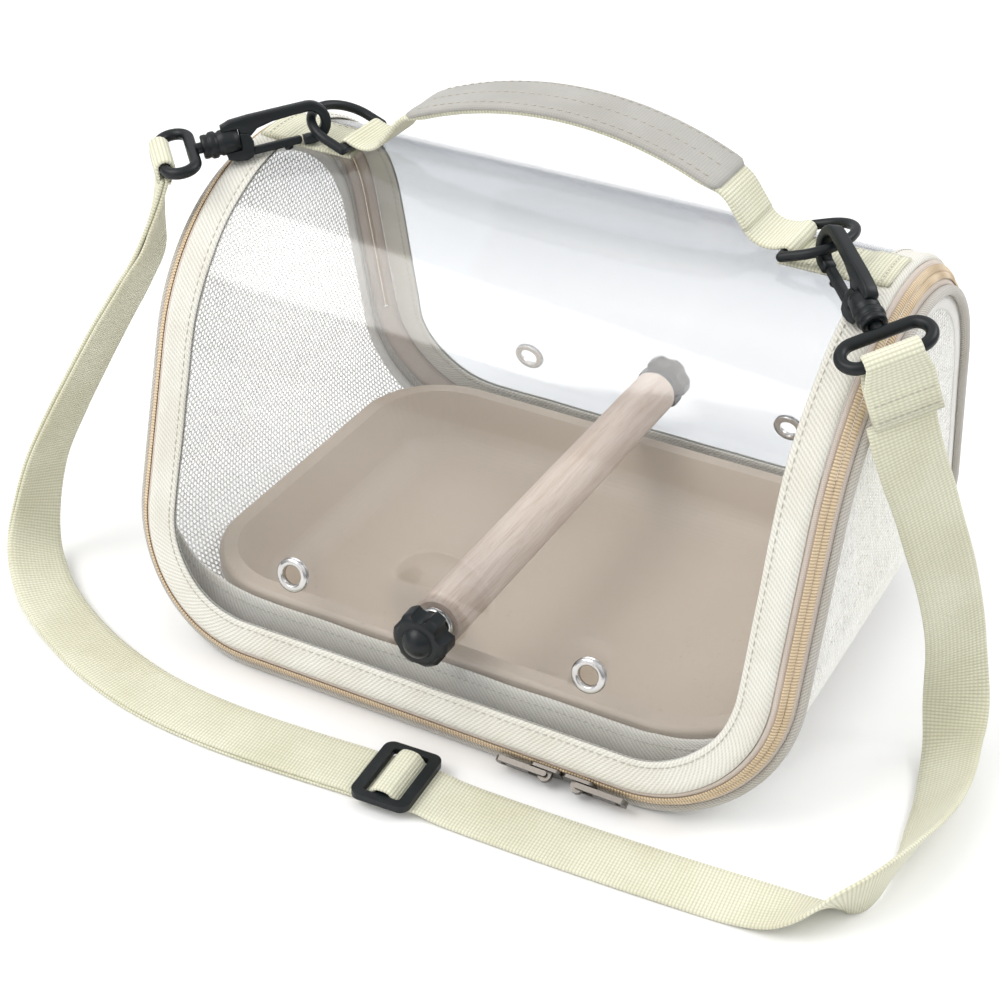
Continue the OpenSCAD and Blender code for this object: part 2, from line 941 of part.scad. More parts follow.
// Band of the handle's line, half thickness h, right half in the XZ plane
module handle_line(h) {
  module arc(c, r, a0, a1) {
    translate(c)
      intersection() {
        difference() {
          circle(r + h, $fn = 192);
          circle(r - h, $fn = 192);
        }
        polygon([[0, 0], 2 * r * [sin(a0), cos(a0)], 3 * r * [sin((a0 + a1) / 2), cos((a0 + a1) / 2)], 2 * r * [sin(a1), cos(a1)]]);
      }
  }
  arc([0, handle_cz], handle_r, 0, wrap_a);
  arc(shoulder_c, shoulder_r, wrap_a, shoulder_a);
  translate(shoulder_p)
    rotate(-shoulder_a)
      translate([-0.01, -h])
        square([slope_l + 0.02, 2 * h]);
  arc([turn_cx, turn_cz], turn_r, 180, 180 + shoulder_a);
  translate([turn_cx, root_z - h])
    square([dring_x - turn_cx, 2 * h]);
}

module handle_webbing() {
  color("palegoldenrod")
    both_ends()
      rotate([90, 0, 0])
        linear_extrude(web_w, center = true)
          intersection() {
            handle_line(web_t / 2);
            translate([-0.01, 0])
              square([swing_x + 0.01, handle_top + 10]);
          }
}

module handle_wrap() {
  inner = web_t / 2 + run_gap;
  color("darkgray")
    translate([0, 0, handle_cz])
      rotate([90, 0, 0])
        rotate([0, 0, 90 - wrap_a])
          rotate_extrude(angle = 2 * wrap_a, $fn = 192)
            translate([handle_r, 0])
              difference() {
                rounded_rect(wrap_t, wrap_w, 1.9);
                square([2 * inner, web_w + 2 * run_gap], center = true);
              }
}

module tab() {
  a = 2 * asin(web_w / 2 / tab_r);
  lift = bind_t;
  over_x = edge_x - bind_w - 1.2;
  module plate(r0, r1, x0, x1) {
    translate([0, 0, crown_z])
      rotate([0, 90, 0])
        rotate([0, 0, 180 - a / 2])
          rotate_extrude(angle = a, $fn = 128)
            translate([r0, x0])
              square([r1 - r0, x1 - x0]);
  }
  color("palegoldenrod")
    difference() {
      union() {
        plate(tab_r, tab_r + tab_t, dring_x, over_x);
        plate(tab_r, tab_r + tab_t + lift, over_x - 1.6, over_x);
        plate(tab_r + lift, tab_r + tab_t + lift, over_x - 1, dring_x + tab_l + 7.5);
        translate([dring_x, 0, dring_z])
          rotate([90, 0, 0])
            cylinder(r = fold_out, h = web_w, center = true);
        rotate([90, 0, 0])
          linear_extrude(web_w, center = true)
            intersection() {
              handle_line(web_t / 2);
              translate([swing_x + root_gap, 0])
                square([dring_x, handle_top]);
            }
      }
      translate([dring_x, 0, dring_z])
        rotate([90, 0, 0])
          cylinder(r = fold_r, h = web_w + 10, center = true);
    }
}

module right_tab() {
  tab();
}

module left_tab() {
  mirror([1, 0, 0])
    tab();
}

// ---- D-rings ----

module d_ring() {
  straight = dring_reach - dring_half;
  color("black")
    translate([dring_x, 0, dring_z])
      rotate([0, -dring_tilt, 0]) {
        rotate([90, 0, 0])
          cylinder(r = dring_wire_r, h = 2 * dring_half, center = true);
        for (m = [-1, 1])
          translate([0, m * dring_half, 0]) {
            sphere(dring_wire_r);
            rotate([0, 90, 0])
              cylinder(r = dring_wire_r, h = straight);
          }
        translate([straight, 0, 0])
          rotate(-90)
            rotate_extrude(angle = 180)
              translate([dring_half, 0])
                circle(dring_wire_r, $fn = 32);
      }
}

module right_d_ring() {
  d_ring();
}

module left_d_ring() {
  mirror([1, 0, 0])
    d_ring();
}

// ---- Swivel hooks and strap rings ----

// Local frame of a swivel: Z points along it to the hook's bend
module at_swivel(place, aim, roll) {
  translate(place)
    rotate(aim)
      rotate([0, 0, roll])
        children();
}

module hook() {
  bar_x = hook_eye_r + hook_bar_w / 2;
  difference() {
    union() {
      translate([0, 0, -barrel_half])
        cylinder(r = barrel_r, h = 2 * barrel_half);
      for (z = [-3.4, 1])
        translate([0, 0, z])
          cylinder(r = barrel_r + 0.5, h = 1.4);
      translate([-bar_x, 0, 0])
        linear_extrude(hook_reach)
          rounded_rect(hook_bar_w, hook_bar_t, 1.6);
      translate([0, 0, hook_reach])
        rotate([90, 0, 0])
          rotate_extrude(angle = 180)
            translate([bar_x, 0])
              rounded_rect(hook_bar_w, hook_bar_t, 1.6);
      translate([bar_x, 0, hook_reach - nose_l])
        linear_extrude(nose_l)
          rounded_rect(hook_bar_w, hook_bar_t, 1.6);
      translate([gate_x - 0.1, 0, gate_z - 8])
        linear_extrude(10.4)
          rounded_rect(4.4, fork_w, 1.2);
    }
    translate([0, 0, -barrel_half - 1])
      cylinder(r = swivel_r + run_gap, h = 2 * barrel_half + 2);
    translate([0, 0, barrel_half])
      cylinder(r = swivel_head_r + 0.4, h = swivel_head_t + 1);
    translate([gate_x - 6, -gate_w / 2 - clear, gate_z - 2.2])
      cube([10, gate_w + 2 * clear, 12]);
    translate([gate_x, 0, gate_z])
      rotate([90, 0, 0])
        cylinder(r = gate_pin_r + run_gap, h = fork_w + 2, center = true);
  }
}

module gate() {
  tip = hook_reach - nose_l - 0.4;
  translate([gate_x, 0, gate_z])
    rotate([90, 0, 0]) {
      cylinder(r = gate_pin_r, h = fork_w, center = true);
      cylinder(r = gate_t / 2, h = gate_w, center = true);
    }
  translate([gate_x - gate_t / 2, -gate_w / 2, gate_z])
    cube([gate_t, gate_w, tip - gate_z]);
  translate([gate_x + gate_t / 2 - 0.2, -gate_w / 2, tip - 6])
    cube([1, gate_w, 4]);
}

module strap_ring() {
  bend = 6;
  top = barrel_half + 4;
  module wire(l) {
    cylinder(r = ring_wire_r, h = l);
  }
  translate([0, 0, -top])
    cylinder(r = swivel_r, h = top + barrel_half + swivel_gap + 0.1);
  translate([0, 0, barrel_half + swivel_gap])
    cylinder(r = swivel_head_r, h = swivel_head_t);
  for (z = [-top, -ring_reach])
    translate([0, ring_half - bend, z])
      rotate([90, 0, 0])
        wire(2 * (ring_half - bend));
  for (m = [-1, 1])
    translate([0, m * ring_half, -ring_reach + bend])
      wire(ring_reach - top - 2 * bend + 0.01);
  for (m = [0, 1])
    mirror([0, m, 0]) {
      translate([0, ring_half - bend, -top - bend])
        rotate([90, 0, 90])
          rotate_extrude(angle = 90)
            translate([bend, 0])
              circle(ring_wire_r, $fn = 32);
      translate([0, ring_half - bend, -ring_reach + bend])
        rotate([90, 0, 90])
          rotate([0, 0, -90])
            rotate_extrude(angle = 90)
              translate([bend, 0])
                circle(ring_wire_r, $fn = 32);
    }
}

module fold_sleeve() {
  translate([0, 0, -ring_reach])
    rotate([90, 0, 0])
      difference() {
        cylinder(r = ring_wire_r + run_gap + fold_wall, h = web_w - 5, center = true);
        cylinder(r = ring_wire_r + run_gap, h = web_w + 2, center = true);
      }
}

module right_hook() {
  color("black")
    at_swivel(right_swivel, right_aim, right_roll)
      hook();
}

module right_hook_gate() {
  color("black")
    at_swivel(right_swivel, right_aim, right_roll)
      gate();
}

module right_strap_ring() {
  color("black")
    at_swivel(right_swivel, right_aim, right_ring_roll)
      strap_ring();
}

module left_hook() {
  color("black")
    at_swivel(left_swivel, left_aim, left_roll)
      hook();
}

module left_hook_gate() {
  color("black")
    at_swivel(left_swivel, left_aim, left_roll)
      gate();
}

module left_strap_ring() {
  color("black")
    at_swivel(left_swivel, left_aim, left_ring_roll)
      strap_ring();
}

// ---- Shoulder strap ----

function unit(v) = v / norm(v);
function place_of(p) = [p[0], p[1], p[2]];
function width_of(p) = [p[3], p[4], p[5]];

function heading(route, i) =
  unit(place_of(route[min(i + 1, len(route) - 1)]) - place_of(route[max(i - 1, 0)]));
// Width and normal of the band at one point
function across(route, i) =
  let (d = heading(route, i), a = width_of(route[i]))
    unit(a - (a * d) * d);
function normal(route, i) = cross(heading(route, i), across(route, i));
// The same route moved off along the band's normal
function layer(route, off) = [
  for (i = [0 : len(route) - 1])
    let (p = place_of(route[i]) + off * normal(route, i), w = width_of(route[i]))
      [p[0], p[1], p[2], w[0], w[1], w[2]]
];

// Flat band through a route's points, eight-sided, thickness t
module band(route, t) {
  n = len(route);
  e = 0.35;
  w = web_w / 2;
  h = t / 2;
  ring = [[w, -h + e], [w, h - e], [w - e, h], [-w + e, h], [-w, h - e], [-w, -h + e], [-w + e, -h], [w - e, -h]];
  pts = [
    for (i = [0 : n - 1])
      let (s = across(route, i), m = normal(route, i))
        for (q = ring) place_of(route[i]) + q[0] * s + q[1] * m
  ];
  faces = [
    [for (k = [0 : 7]) k],
    [for (k = [7 : -1 : 0]) (n - 1) * 8 + k],
    for (i = [0 : n - 2], k = [0 : 7])
      [i * 8 + k, (i + 1) * 8 + k, (i + 1) * 8 + (k + 1) % 8],
    for (i = [0 : n - 2], k = [0 : 7])
      [i * 8 + k, (i + 1) * 8 + (k + 1) % 8, i * 8 + (k + 1) % 8]
  ];
  polyhedron(pts, faces, convexity = 8);
}

module strap_long() {
  color("palegoldenrod")
    band(concat(strap_right, strap_hump, strap_left), strap_t);
}

module strap_return() {
  color("palegoldenrod")
    band(concat(return_end, layer(strap_left, -strap_t - layer_gap)), strap_t);
}

module right_strap_fold() {
  color("palegoldenrod") {
    at_swivel(right_swivel, right_aim, right_ring_roll)
      fold_sleeve();
    band(tongue_route, 2 * strap_t);
  }
}

module left_strap_fold() {
  color("palegoldenrod")
    at_swivel(left_swivel, left_aim, left_ring_roll)
      fold_sleeve();
}

module strap_slider() {
  slot_l = (slider_l - 3 * slider_bar) / 2;
  slider_w = web_w + 8;
  color("black")
    translate(slider_place)
      rotate(slider_turn)
        linear_extrude(slider_t)
          difference() {
            rounded_rect(slider_l, slider_w, 4);
            for (m = [-1, 1])
              translate([m * (slot_l + slider_bar) / 2, 0])
                rounded_rect(slot_l, web_w + 1, 1.2);
          }
}

base_panel();
left_end_mesh();
right_end_mesh();
gusset_piping();
zip_tape_base();
zip_coil_base();
back_hinge_strip();
tray();
left_zip_slider();
right_zip_slider();
left_zip_pull();
right_zip_pull();
clear_cover();
cover_binding();
zip_tape_cover();
zip_coil_cover();
grommet_front_left();
grommet_front_mid();
grommet_front_right();
grommet_back_left();
grommet_back_mid();
grommet_back_right();
perch_dowel();
front_knob();
back_knob();
handle_webbing();
handle_wrap();
left_tab();
right_tab();
left_d_ring();
right_d_ring();
left_hook();
left_hook_gate();
left_strap_ring();
left_strap_fold();
right_hook();
right_hook_gate();
right_strap_ring();
right_strap_fold();
strap_long();
strap_return();
strap_slider();
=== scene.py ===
import math
import bmesh
import bpy
from mathutils import Matrix, Vector, noise


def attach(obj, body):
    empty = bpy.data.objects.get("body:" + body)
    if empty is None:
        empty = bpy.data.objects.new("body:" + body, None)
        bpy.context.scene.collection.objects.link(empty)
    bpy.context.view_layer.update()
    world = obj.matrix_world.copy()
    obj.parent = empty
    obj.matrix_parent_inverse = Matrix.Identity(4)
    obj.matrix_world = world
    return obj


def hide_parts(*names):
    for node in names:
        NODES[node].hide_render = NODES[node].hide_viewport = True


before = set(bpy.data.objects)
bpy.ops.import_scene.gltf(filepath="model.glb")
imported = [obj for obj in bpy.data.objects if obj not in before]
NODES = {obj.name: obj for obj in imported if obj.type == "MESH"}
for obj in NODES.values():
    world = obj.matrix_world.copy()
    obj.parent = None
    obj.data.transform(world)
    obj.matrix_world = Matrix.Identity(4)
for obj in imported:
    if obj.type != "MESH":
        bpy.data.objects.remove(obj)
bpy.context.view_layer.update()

# ---- Measures, in millimetres, as the construction has them ----
HALF_D = 115.0
CROWN_R = 84.0
CROWN_Z = 102.0
LEAN = math.pi / 2 - math.atan2(CROWN_Z, HALF_D) - math.asin(CROWN_R / math.hypot(HALF_D, CROWN_Z))
FACE_L = math.sqrt(HALF_D ** 2 + CROWN_Z ** 2 - CROWN_R ** 2)
EDGE_X = 133.0
CORNER_R = 50.0
CORNER_X = EDGE_X - CORNER_R
PIPING_U, PIPING_V, PIPING_R = 8.5, -10.0, 2.0
EDGE_S = PIPING_U + (PIPING_R - PIPING_V * math.sin(LEAN)) / math.cos(LEAN)
CORNER_S = EDGE_S + CORNER_R
TAPE_U, TAPE_V = 0.3, -0.6
SEAM_A = math.atan2(PIPING_V - TAPE_V, PIPING_U - TAPE_U)
SEAM_L = math.hypot(PIPING_V - TAPE_V, PIPING_U - TAPE_U) - PIPING_R
SEAM_MID = SEAM_L / 2
BIND_W, BIND_T = 12.5, 0.9
PERCH_Z = 50.0
SEAT_Y = HALF_D - PERCH_Z * math.tan(LEAN) + 0.5
SEAT_S = PERCH_Z / math.cos(LEAN)
EYELET_X = 64.0
WEB_W = 25.0
STRAP_T = 1.6
RING_REACH, RING_WIRE = 22.0, 2.3
GUSSET_V = PIPING_V - PIPING_R - 0.1
BASE_Y = HALF_D + GUSSET_V / math.cos(LEAN)
NET_R = CROWN_R + GUSSET_V

X_AXIS, Y_AXIS, Z_AXIS = Vector((1, 0, 0)), Vector((0, 1, 0)), Vector((0, 0, 1))
UP_SLOPE = Vector((0, math.sin(LEAN), math.cos(LEAN)))
OUTWARD = Vector((0, -math.cos(LEAN), math.sin(LEAN)))

STRAP_ROUTE = [
    (151.7, -51.95, 160.6, 0.72, 0.62, 0.3), (153.9, -51, 152.9, 0.7, 0.66, 0.3),
    (157.5, -47.5, 140, 0.67, 0.69, 0.3), (161.4, -41, 124.5, 0.64, 0.72, 0.32),
    (165.5, -35, 107.5, 0.63, 0.73, 0.34), (169.6, -27.5, 89, 0.62, 0.72, 0.36),
    (172.4, -21, 72.5, 0.62, 0.7, 0.4), (174.8, -15.5, 55.5, 0.64, 0.66, 0.42),
    (176.9, -12.8, 38.5, 0.7, 0.58, 0.42), (179.6, -14.5, 23.5, 0.8, 0.4, 0.45),
    (182.6, -22.5, 13.2, 0.85, 0.15, 0.5), (185, -33, 9.6, 0.84, 0, 0.52),
    (187.2, -45, 9.2, 0.8, 0, 0.6), (188.6, -57, 9.8, 0.74, 0, 0.67),
    (189.2, -70, 10.8, 0.66, 0, 0.75), (189.3, -83, 11.8, 0.52, -0.03, 0.85),
    (188.2, -96.5, 13, 0.36, -0.07, 0.93), (186, -109, 13.3, 0.22, -0.12, 0.97),
    (182.2, -119, 12.6, 0.12, -0.25, 0.95), (176.5, -125.2, 10.8, 0.1, -0.45, 0.86),
    (170.2, -128.2, 8, 0.1, -0.72, 0.62), (162.4, -130.4, 4.7, 0.05, -0.92, 0.33),
    (154.5, -131.6, 2.4, 0.03, -0.99, 0.12), (141, -133, 1.1, 0.02, -1, 0),
    (112, -135.2, 1, 0.05, -1, 0), (78, -137, 1, 0.04, -1, 0), (46, -138, 1, 0.04, -1, 0),
    (27, -138.4, 1.4, 0.05, -1, 0), (19, -138.7, 2.7, 0.05, -1, 0),
    (11.8, -139.04, 3, 0.0524, -1, 0), (9, -139.19, 6.5, 0.0524, -1, 0),
    (7.4, -139.27, 7.9, 0.0524, -1, 0), (2.6, -139.53, 7.9, 0.0524, -1, 0),
    (1, -139.61, 6.5, 0.0524, -1, 0), (-1.8, -139.76, 3, 0.0524, -1, 0)]
LEFT_ROUTE = [
    (-14, -140.7, 2.9, 0.06, -1, 0), (-40, -142.6, 2.9, 0.04, -1, 0), (-72, -143.6, 2.9, 0, -1, 0),
    (-104, -141, 2.9, -0.1, -1, 0), (-132, -134, 2.9, -0.3, -1, 0),
    (-156, -124, 3.2, -0.45, -0.95, 0.05), (-179, -111.5, 4.8, -0.6, -0.85, 0.1),
    (-194, -99.5, 8.2, -0.62, -0.7, 0.3), (-202.6, -90, 13.5, -0.4, -0.8, 0.42),
    (-206.4, -82, 24, -0.2, -0.9, 0.4), (-205.4, -73.5, 44, -0.05, -0.93, 0.36),
    (-198, -67, 65, 0, -0.93, 0.36), (-188.6, -61, 86.5, 0.05, -0.92, 0.38),
    (-178, -56, 108.5, 0.1, -0.9, 0.4), (-167.2, -52.8, 128.5, 0.18, -0.88, 0.42),
    (-159, -51.4, 145, 0.27, -0.84, 0.42), (-155.8, -50.3, 159.5, 0.42, -0.8, 0.28),
    (-153.6, -49.5, 171, 0.56, -0.78, 0.1), (-152.05, -48.85, 181.5, 0.68, -0.73, -0.07)]
RETURN_END = [(6, -139.35, 3.1, 0.0524, -1, 0), (-3, -139.85, 1.2, 0.0524, -1, 0)]
LAYER_STEP = STRAP_T + 0.25
SWIVELS = {
    "right": ((132.1, -38.3, 188.1), 78.6, 131.7, -20, 10),
    "left": ((-136, -34.7, 189.4), 80.3, 42.2, 4, -12)}


def clamp(x):
    return min(1.0, max(0.0, x))


def ease(t):
    """From 0 to 1, level at both ends"""
    return t * t * (3 - 2 * t)


def drift(x, y, z):
    """Smooth noise from -1 to 1, the same in every run"""
    return noise.noise(Vector((x, y, z)))


# ---- Camera ----


def camera():
    view = Vector((-0.38011, 0.74549, -0.54750)).normalized()
    side = view.cross(Vector((0, 0, 1))).normalized()
    top = side.cross(view)
    roll = math.radians(1.56)
    right = math.cos(roll) * side + math.sin(roll) * top
    up = -math.sin(roll) * side + math.cos(roll) * top
    data = bpy.data.cameras.new("camera")
    data.lens = 73.78
    data.sensor_width = 36
    data.clip_end = 20
    cam = bpy.data.objects.new("camera", data)
    turn = Matrix((right, up, -view)).transposed().to_4x4()
    cam.matrix_world = Matrix.Translation((0.30251, -0.64400, 0.51287)) @ turn
    bpy.context.scene.collection.objects.link(cam)
    bpy.context.scene.camera = cam


camera()

# ---- Making pieces ----


def piece(name, bm, finish, smooth=True):
    me = bpy.data.meshes.new(name)
    bm.to_mesh(me)
    bm.free()
    ob = bpy.data.objects.new(name, me)
    bpy.context.scene.collection.objects.link(ob)
    me.materials.append(finish)
    for f in me.polygons:
        f.use_smooth = smooth
    return ob


def fitted(name, bm, finish, body, node=None, smooth=True):
    """A piece that rides on a body, with the node it stands for"""
    ob = piece(name, bm, finish, smooth)
    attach(ob, body)
    if node:
        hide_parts(node)
    return ob


def skin(bm, rings, closed_ring=True, closed_path=False):
    """A grid folded into a skin through rings of points in millimetres, with its length and girth as UV in metres"""
    rings = [list(r) for r in rings]
    if closed_path:
        rings.append(rings[0])
    if closed_ring:
        rings = [r + [r[0]] for r in rings]
    n, k = len(rings), len(rings[0])
    made = bmesh.ops.create_grid(bm, x_segments=n - 1, y_segments=k - 1, size=1.0)["verts"]
    along = [0.0]
    mid = [sum((Vector(p) for p in r[:-1]), Vector()) / (k - 1) for r in rings]
    for a, b in zip(mid, mid[1:]):
        along.append(along[-1] + (b - a).length)
    girth = [0.0]
    base = rings[n // 2]
    for a, b in zip(base, base[1:]):
        girth.append(girth[-1] + (Vector(b) - Vector(a)).length)
    spot = {}
    for v in made:
        i = round((v.co.x + 1) / 2 * (n - 1))
        j = round((v.co.y + 1) / 2 * (k - 1))
        spot[v] = (i, j)
    faces = {f for v in made for f in v.link_faces}
    uv = bm.loops.layers.uv.get("UVMap") or bm.loops.layers.uv.new("UVMap")
    for f in faces:
        for lp in f.loops:
            i, j = spot[lp.vert]
            lp[uv].uv = (along[i] / 1000, girth[j] / 1000)
    for v, (i, j) in spot.items():
        v.co = Vector(rings[i][j]) / 1000
    bmesh.ops.remove_doubles(bm, verts=made, dist=1e-6)
    left = [v for v in made if v.is_valid]
    edges = {e for v in left for e in v.link_edges if e.is_boundary}
    if closed_ring and not closed_path and edges:
        bmesh.ops.holes_fill(bm, edges=list(edges), sides=0)
    bmesh.ops.recalc_face_normals(bm, faces=bm.faces)


def swept(name, rings, finish, body, node=None, closed_ring=True, closed_path=False, smooth=True):
    bm = bmesh.new()
    skin(bm, rings, closed_ring, closed_path)
    return fitted(name, bm, finish, body, node, smooth)


def smooth_through(points, parts):
    """Even curve through the given points, each a list of numbers"""
    out = []
    n = len(points)
    for i in range(n - 1):
        p0, p1, p2, p3 = (points[max(i - 1, 0)], points[i], points[i + 1], points[min(i + 2, n - 1)])
        d1 = math.dist(p1[:3], p2[:3]) ** 0.5
        d0 = math.dist(p0[:3], p1[:3]) ** 0.5 or d1
        d2 = math.dist(p2[:3], p3[:3]) ** 0.5 or d1
        for s in range(parts):
            t = s / parts
            row = []
            for a, b, c, d in zip(p0, p1, p2, p3):
                m1 = (c - b) + d1 * ((b - a) / d0 - (c - a) / (d0 + d1))
                m2 = (c - b) + d1 * ((d - c) / d2 - (d - b) / (d1 + d2))
                row.append(b + (c - b) * ease(t) + m1 * t * (1 - t) ** 2 - m2 * t * t * (1 - t))
            out.append(row)
    out.append(list(points[-1]))
    return out


def band_frames(route):
    """Place, width direction and normal at every point of a band's route"""
    out = []
    n = len(route)
    for i, p in enumerate(route):
        ahead = Vector(route[min(i + 1, n - 1)][:3]) - Vector(route[max(i - 1, 0)][:3])
        ahead.normalize()
        wide = Vector(p[3:6])
        wide = (wide - wide.dot(ahead) * ahead).normalized()
        out.append((Vector(p[:3]), wide, ahead.cross(wide)))
    return out


def band_ring(place, wide, normal, half, thick, crown=0.0):
    """Flat woven band's section: thin, with soft selvedges"""
    h = thick / 2
    across = [-half + 0.5, -half * 0.7, -half * 0.35, 0, half * 0.35, half * 0.7, half - 0.5]
    flat = [(x, h) for x in across] + [(half, h * 0.35), (half, -h * 0.35)]
    flat += [(-x, -h) for x in across] + [(-half, -h * 0.35), (-half, h * 0.35)]
    return [place + x * wide + (y + crown * (1 - (x / half) ** 2)) * normal for x, y in flat]


def capsules(bm, marks, long, wide, high):
    """One small thread capsule for each (place, direction, normal)"""
    for place, ahead, normal in marks:
        side = normal.cross(ahead).normalized()
        m = Matrix((ahead * long / 2, side * wide / 2, normal * high / 2)).transposed().to_4x4()
        m.translation = place
        bmesh.ops.create_uvsphere(bm, u_segments=6, v_segments=4, radius=0.001,
                                  matrix=Matrix.Translation(place / 1000) @ m.to_3x3().to_4x4())


def stitching(name, marks, finish, body, long=2.4, wide=0.55, high=0.5):
    bm = bmesh.new()
    capsules(bm, marks, long, wide, high)
    fitted(name, bm, finish, body)


# ---- Finishes ----


WHITE = (1, 1, 1)


class Net:
    """Node tree of one finish, with short calls for its nodes"""

    def __init__(self, name):
        self.mat = bpy.data.materials.new(name)
        self.mat.use_nodes = True
        self.tree = self.mat.node_tree
        self.shader = self.tree.nodes["Principled BSDF"]
        self.place = self.tree.nodes.new("ShaderNodeTexCoord").outputs["Object"]

    def add(self, kind, **values):
        node = self.tree.nodes.new(kind)
        for key, value in values.items():
            setattr(node, key, value)
        return node

    def link(self, a, b):
        self.tree.links.new(a, b)

    def set(self, **values):
        for key, value in values.items():
            self.shader.inputs[key.replace("_", " ")].default_value = value

    def math(self, op, a, b=None, c=None):
        node = self.add("ShaderNodeMath", operation=op)
        for slot, value in zip(node.inputs, (a, b, c)):
            if value is None:
                continue
            if isinstance(value, (int, float)):
                slot.default_value = value
            else:
                self.link(value, slot)
        return node.outputs[0]

    def uv(self):
        node = self.add("ShaderNodeUVMap", uv_map="UVMap")
        sep = self.add("ShaderNodeSeparateXYZ")
        self.link(node.outputs[0], sep.inputs[0])
        return sep.outputs[0], sep.outputs[1]

    def wave(self, coord, pitch):
        """0 in the groove to 1 on the thread, repeating every pitch in metres"""
        angle = self.math("MULTIPLY", coord, 2 * math.pi / pitch)
        return self.math("MULTIPLY_ADD", self.math("SINE", angle), 0.5, 0.5)

    def cloud(self, scale, detail=3.0, rough=0.5, where=None):
        node = self.add("ShaderNodeTexNoise")
        node.inputs["Scale"].default_value = scale
        node.inputs["Detail"].default_value = detail
        node.inputs["Roughness"].default_value = rough
        self.link(where or self.place, node.inputs["Vector"])
        return node.outputs["Fac"]

    def shade(self, factor, dark, light, low=0.0, high=1.0):
        ramp = self.add("ShaderNodeValToRGB")
        ramp.color_ramp.elements[0].position = low
        ramp.color_ramp.elements[0].color = (*dark, 1)
        ramp.color_ramp.elements[1].position = high
        ramp.color_ramp.elements[1].color = (*light, 1)
        self.link(factor, ramp.inputs[0])
        return ramp.outputs[0]

    def tint(self, a, b, amount):
        mix = self.add("ShaderNodeMix", data_type="RGBA", blend_type="MULTIPLY")
        mix.inputs[0].default_value = amount
        self.link(a, mix.inputs[6])
        self.link(b, mix.inputs[7])
        return mix.outputs[2]

    def colour(self, out):
        self.link(out, self.shader.inputs["Base Color"])

    def rough(self, out, low, high):
        self.link(self.math("MULTIPLY_ADD", out, high - low, low), self.shader.inputs["Roughness"])

    def bump(self, height, depth_mm):
        node = self.add("ShaderNodeBump")
        node.inputs["Distance"].default_value = depth_mm / 1000
        node.inputs["Strength"].default_value = 1.0
        self.link(height, node.inputs["Height"])
        self.link(node.outputs[0], self.shader.inputs["Normal"])


def cloth(net, weave, tones, spread, soil, surface, fuzz, depth):
    """Colour, soiling, sheen and relief of a woven finish, with painted shade darkening the grooves of its weave. tones
    are its light, on the threads, and its dark, painted shade in the grooves, soil a scale and a tint, surface its
    roughness, sheen and gloss, fuzz a scale and a share of the relief"""
    # The weave's grooves take the dark tone: painted shade in the grooves, over the light tone of the threads.
    col = net.shade(weave, tones[1], tones[0], *spread)
    net.colour(net.tint(col, net.shade(net.cloud(soil[0], 4), soil[1], WHITE, 0.35, 0.6), 1.0))
    rough, sheen, gloss = surface
    net.set(Roughness=rough, Sheen_Weight=sheen, Sheen_Roughness=0.5, Specular_IOR_Level=gloss)
    net.bump(net.math("MULTIPLY_ADD", net.cloud(fuzz[0], 2), fuzz[1], weave), depth)
    return net.mat


def ribbed_webbing(name, light, dark, rib, warp):
    """Webbing: ribs across its length, crossed by warp columns"""
    net = Net(name)
    u, v = net.uv()
    columns = net.math("MULTIPLY_ADD", net.wave(v, warp), 0.55, 0.45)
    weave = net.math("MULTIPLY", net.math("POWER", net.wave(u, rib), 0.6), columns)
    return cloth(net, weave, (light, dark), (0.05, 0.75), (28, (0.90, 0.89, 0.85)), (0.82, 0.25, 0.25),
                 (2600, 0.25), 0.25)


def twill(name, light, dark, pitch, depth=0.22):
    """Binding tape: slanting ribs over fine crosswise threads"""
    net = Net(name)
    u, v = net.uv()
    slant = net.math("ADD", u, net.math("MULTIPLY", v, 0.9))
    slant = net.math("MULTIPLY_ADD", net.cloud(260, 2), pitch * 0.5, slant)
    ribs = net.math("MULTIPLY", net.wave(slant, pitch), 0.7)
    weave = net.math("MULTIPLY_ADD", net.wave(v, 0.0009), 0.3, ribs)
    return cloth(net, weave, (light, dark), (0.1, 0.7), (40, (0.93, 0.92, 0.89)), (0.88, 0.3, 0.2), (2200, 0.35), depth)


def plain_cloth(name, light, dark, pitch=0.0007, depth=0.12):
    net = Net(name)
    u, v = net.uv()
    weave = net.math("MULTIPLY", net.wave(u, pitch), net.wave(v, pitch))
    return cloth(net, weave, (light, dark), (0.0, 0.6), (35, (0.92, 0.91, 0.9)), (0.9, 0.2, 0.2), (1800, 0.4), depth)


def net_yarn(name):
    net = Net(name)
    soil = net.cloud(900, 2)
    net.colour(net.shade(soil, (0.84, 0.835, 0.80), (0.95, 0.945, 0.92), 0.3, 0.7))
    net.set(Roughness=0.6, Sheen_Weight=0.2, Specular_IOR_Level=0.35)
    net.bump(soil, 0.08)
    return net.mat


def zip_teeth(name):
    net = Net(name)
    teeth = net.wave(net.uv()[0], 0.0012)
    soil = net.cloud(90, 3)
    # The dark brown between the teeth is painted shade in the gaps. The tan is the teeth's own colour.
    col = net.shade(teeth, (0.44, 0.32, 0.19), (0.80, 0.65, 0.45), 0.0, 0.7)
    net.colour(net.tint(col, net.shade(soil, (0.85, 0.82, 0.8), WHITE), 1.0))
    net.set(Roughness=0.45, Specular_IOR_Level=0.45)
    net.bump(teeth, 0.2)
    return net.mat


def moulded_tray(name):
    net = Net(name)
    cloud = net.cloud(9, 3)
    speck = net.cloud(700, 1)
    col = net.shade(cloud, (0.47, 0.385, 0.30), (0.51, 0.425, 0.335), 0.3, 0.7)
    flecks = net.shade(speck, (0.80, 0.76, 0.72), WHITE, 0.22, 0.34)
    net.colour(net.tint(col, flecks, 0.8))
    net.rough(cloud, 0.38, 0.5)
    net.set(Specular_IOR_Level=0.45)
    grain = net.cloud(1500, 3)
    net.bump(grain, 0.04)
    return net.mat


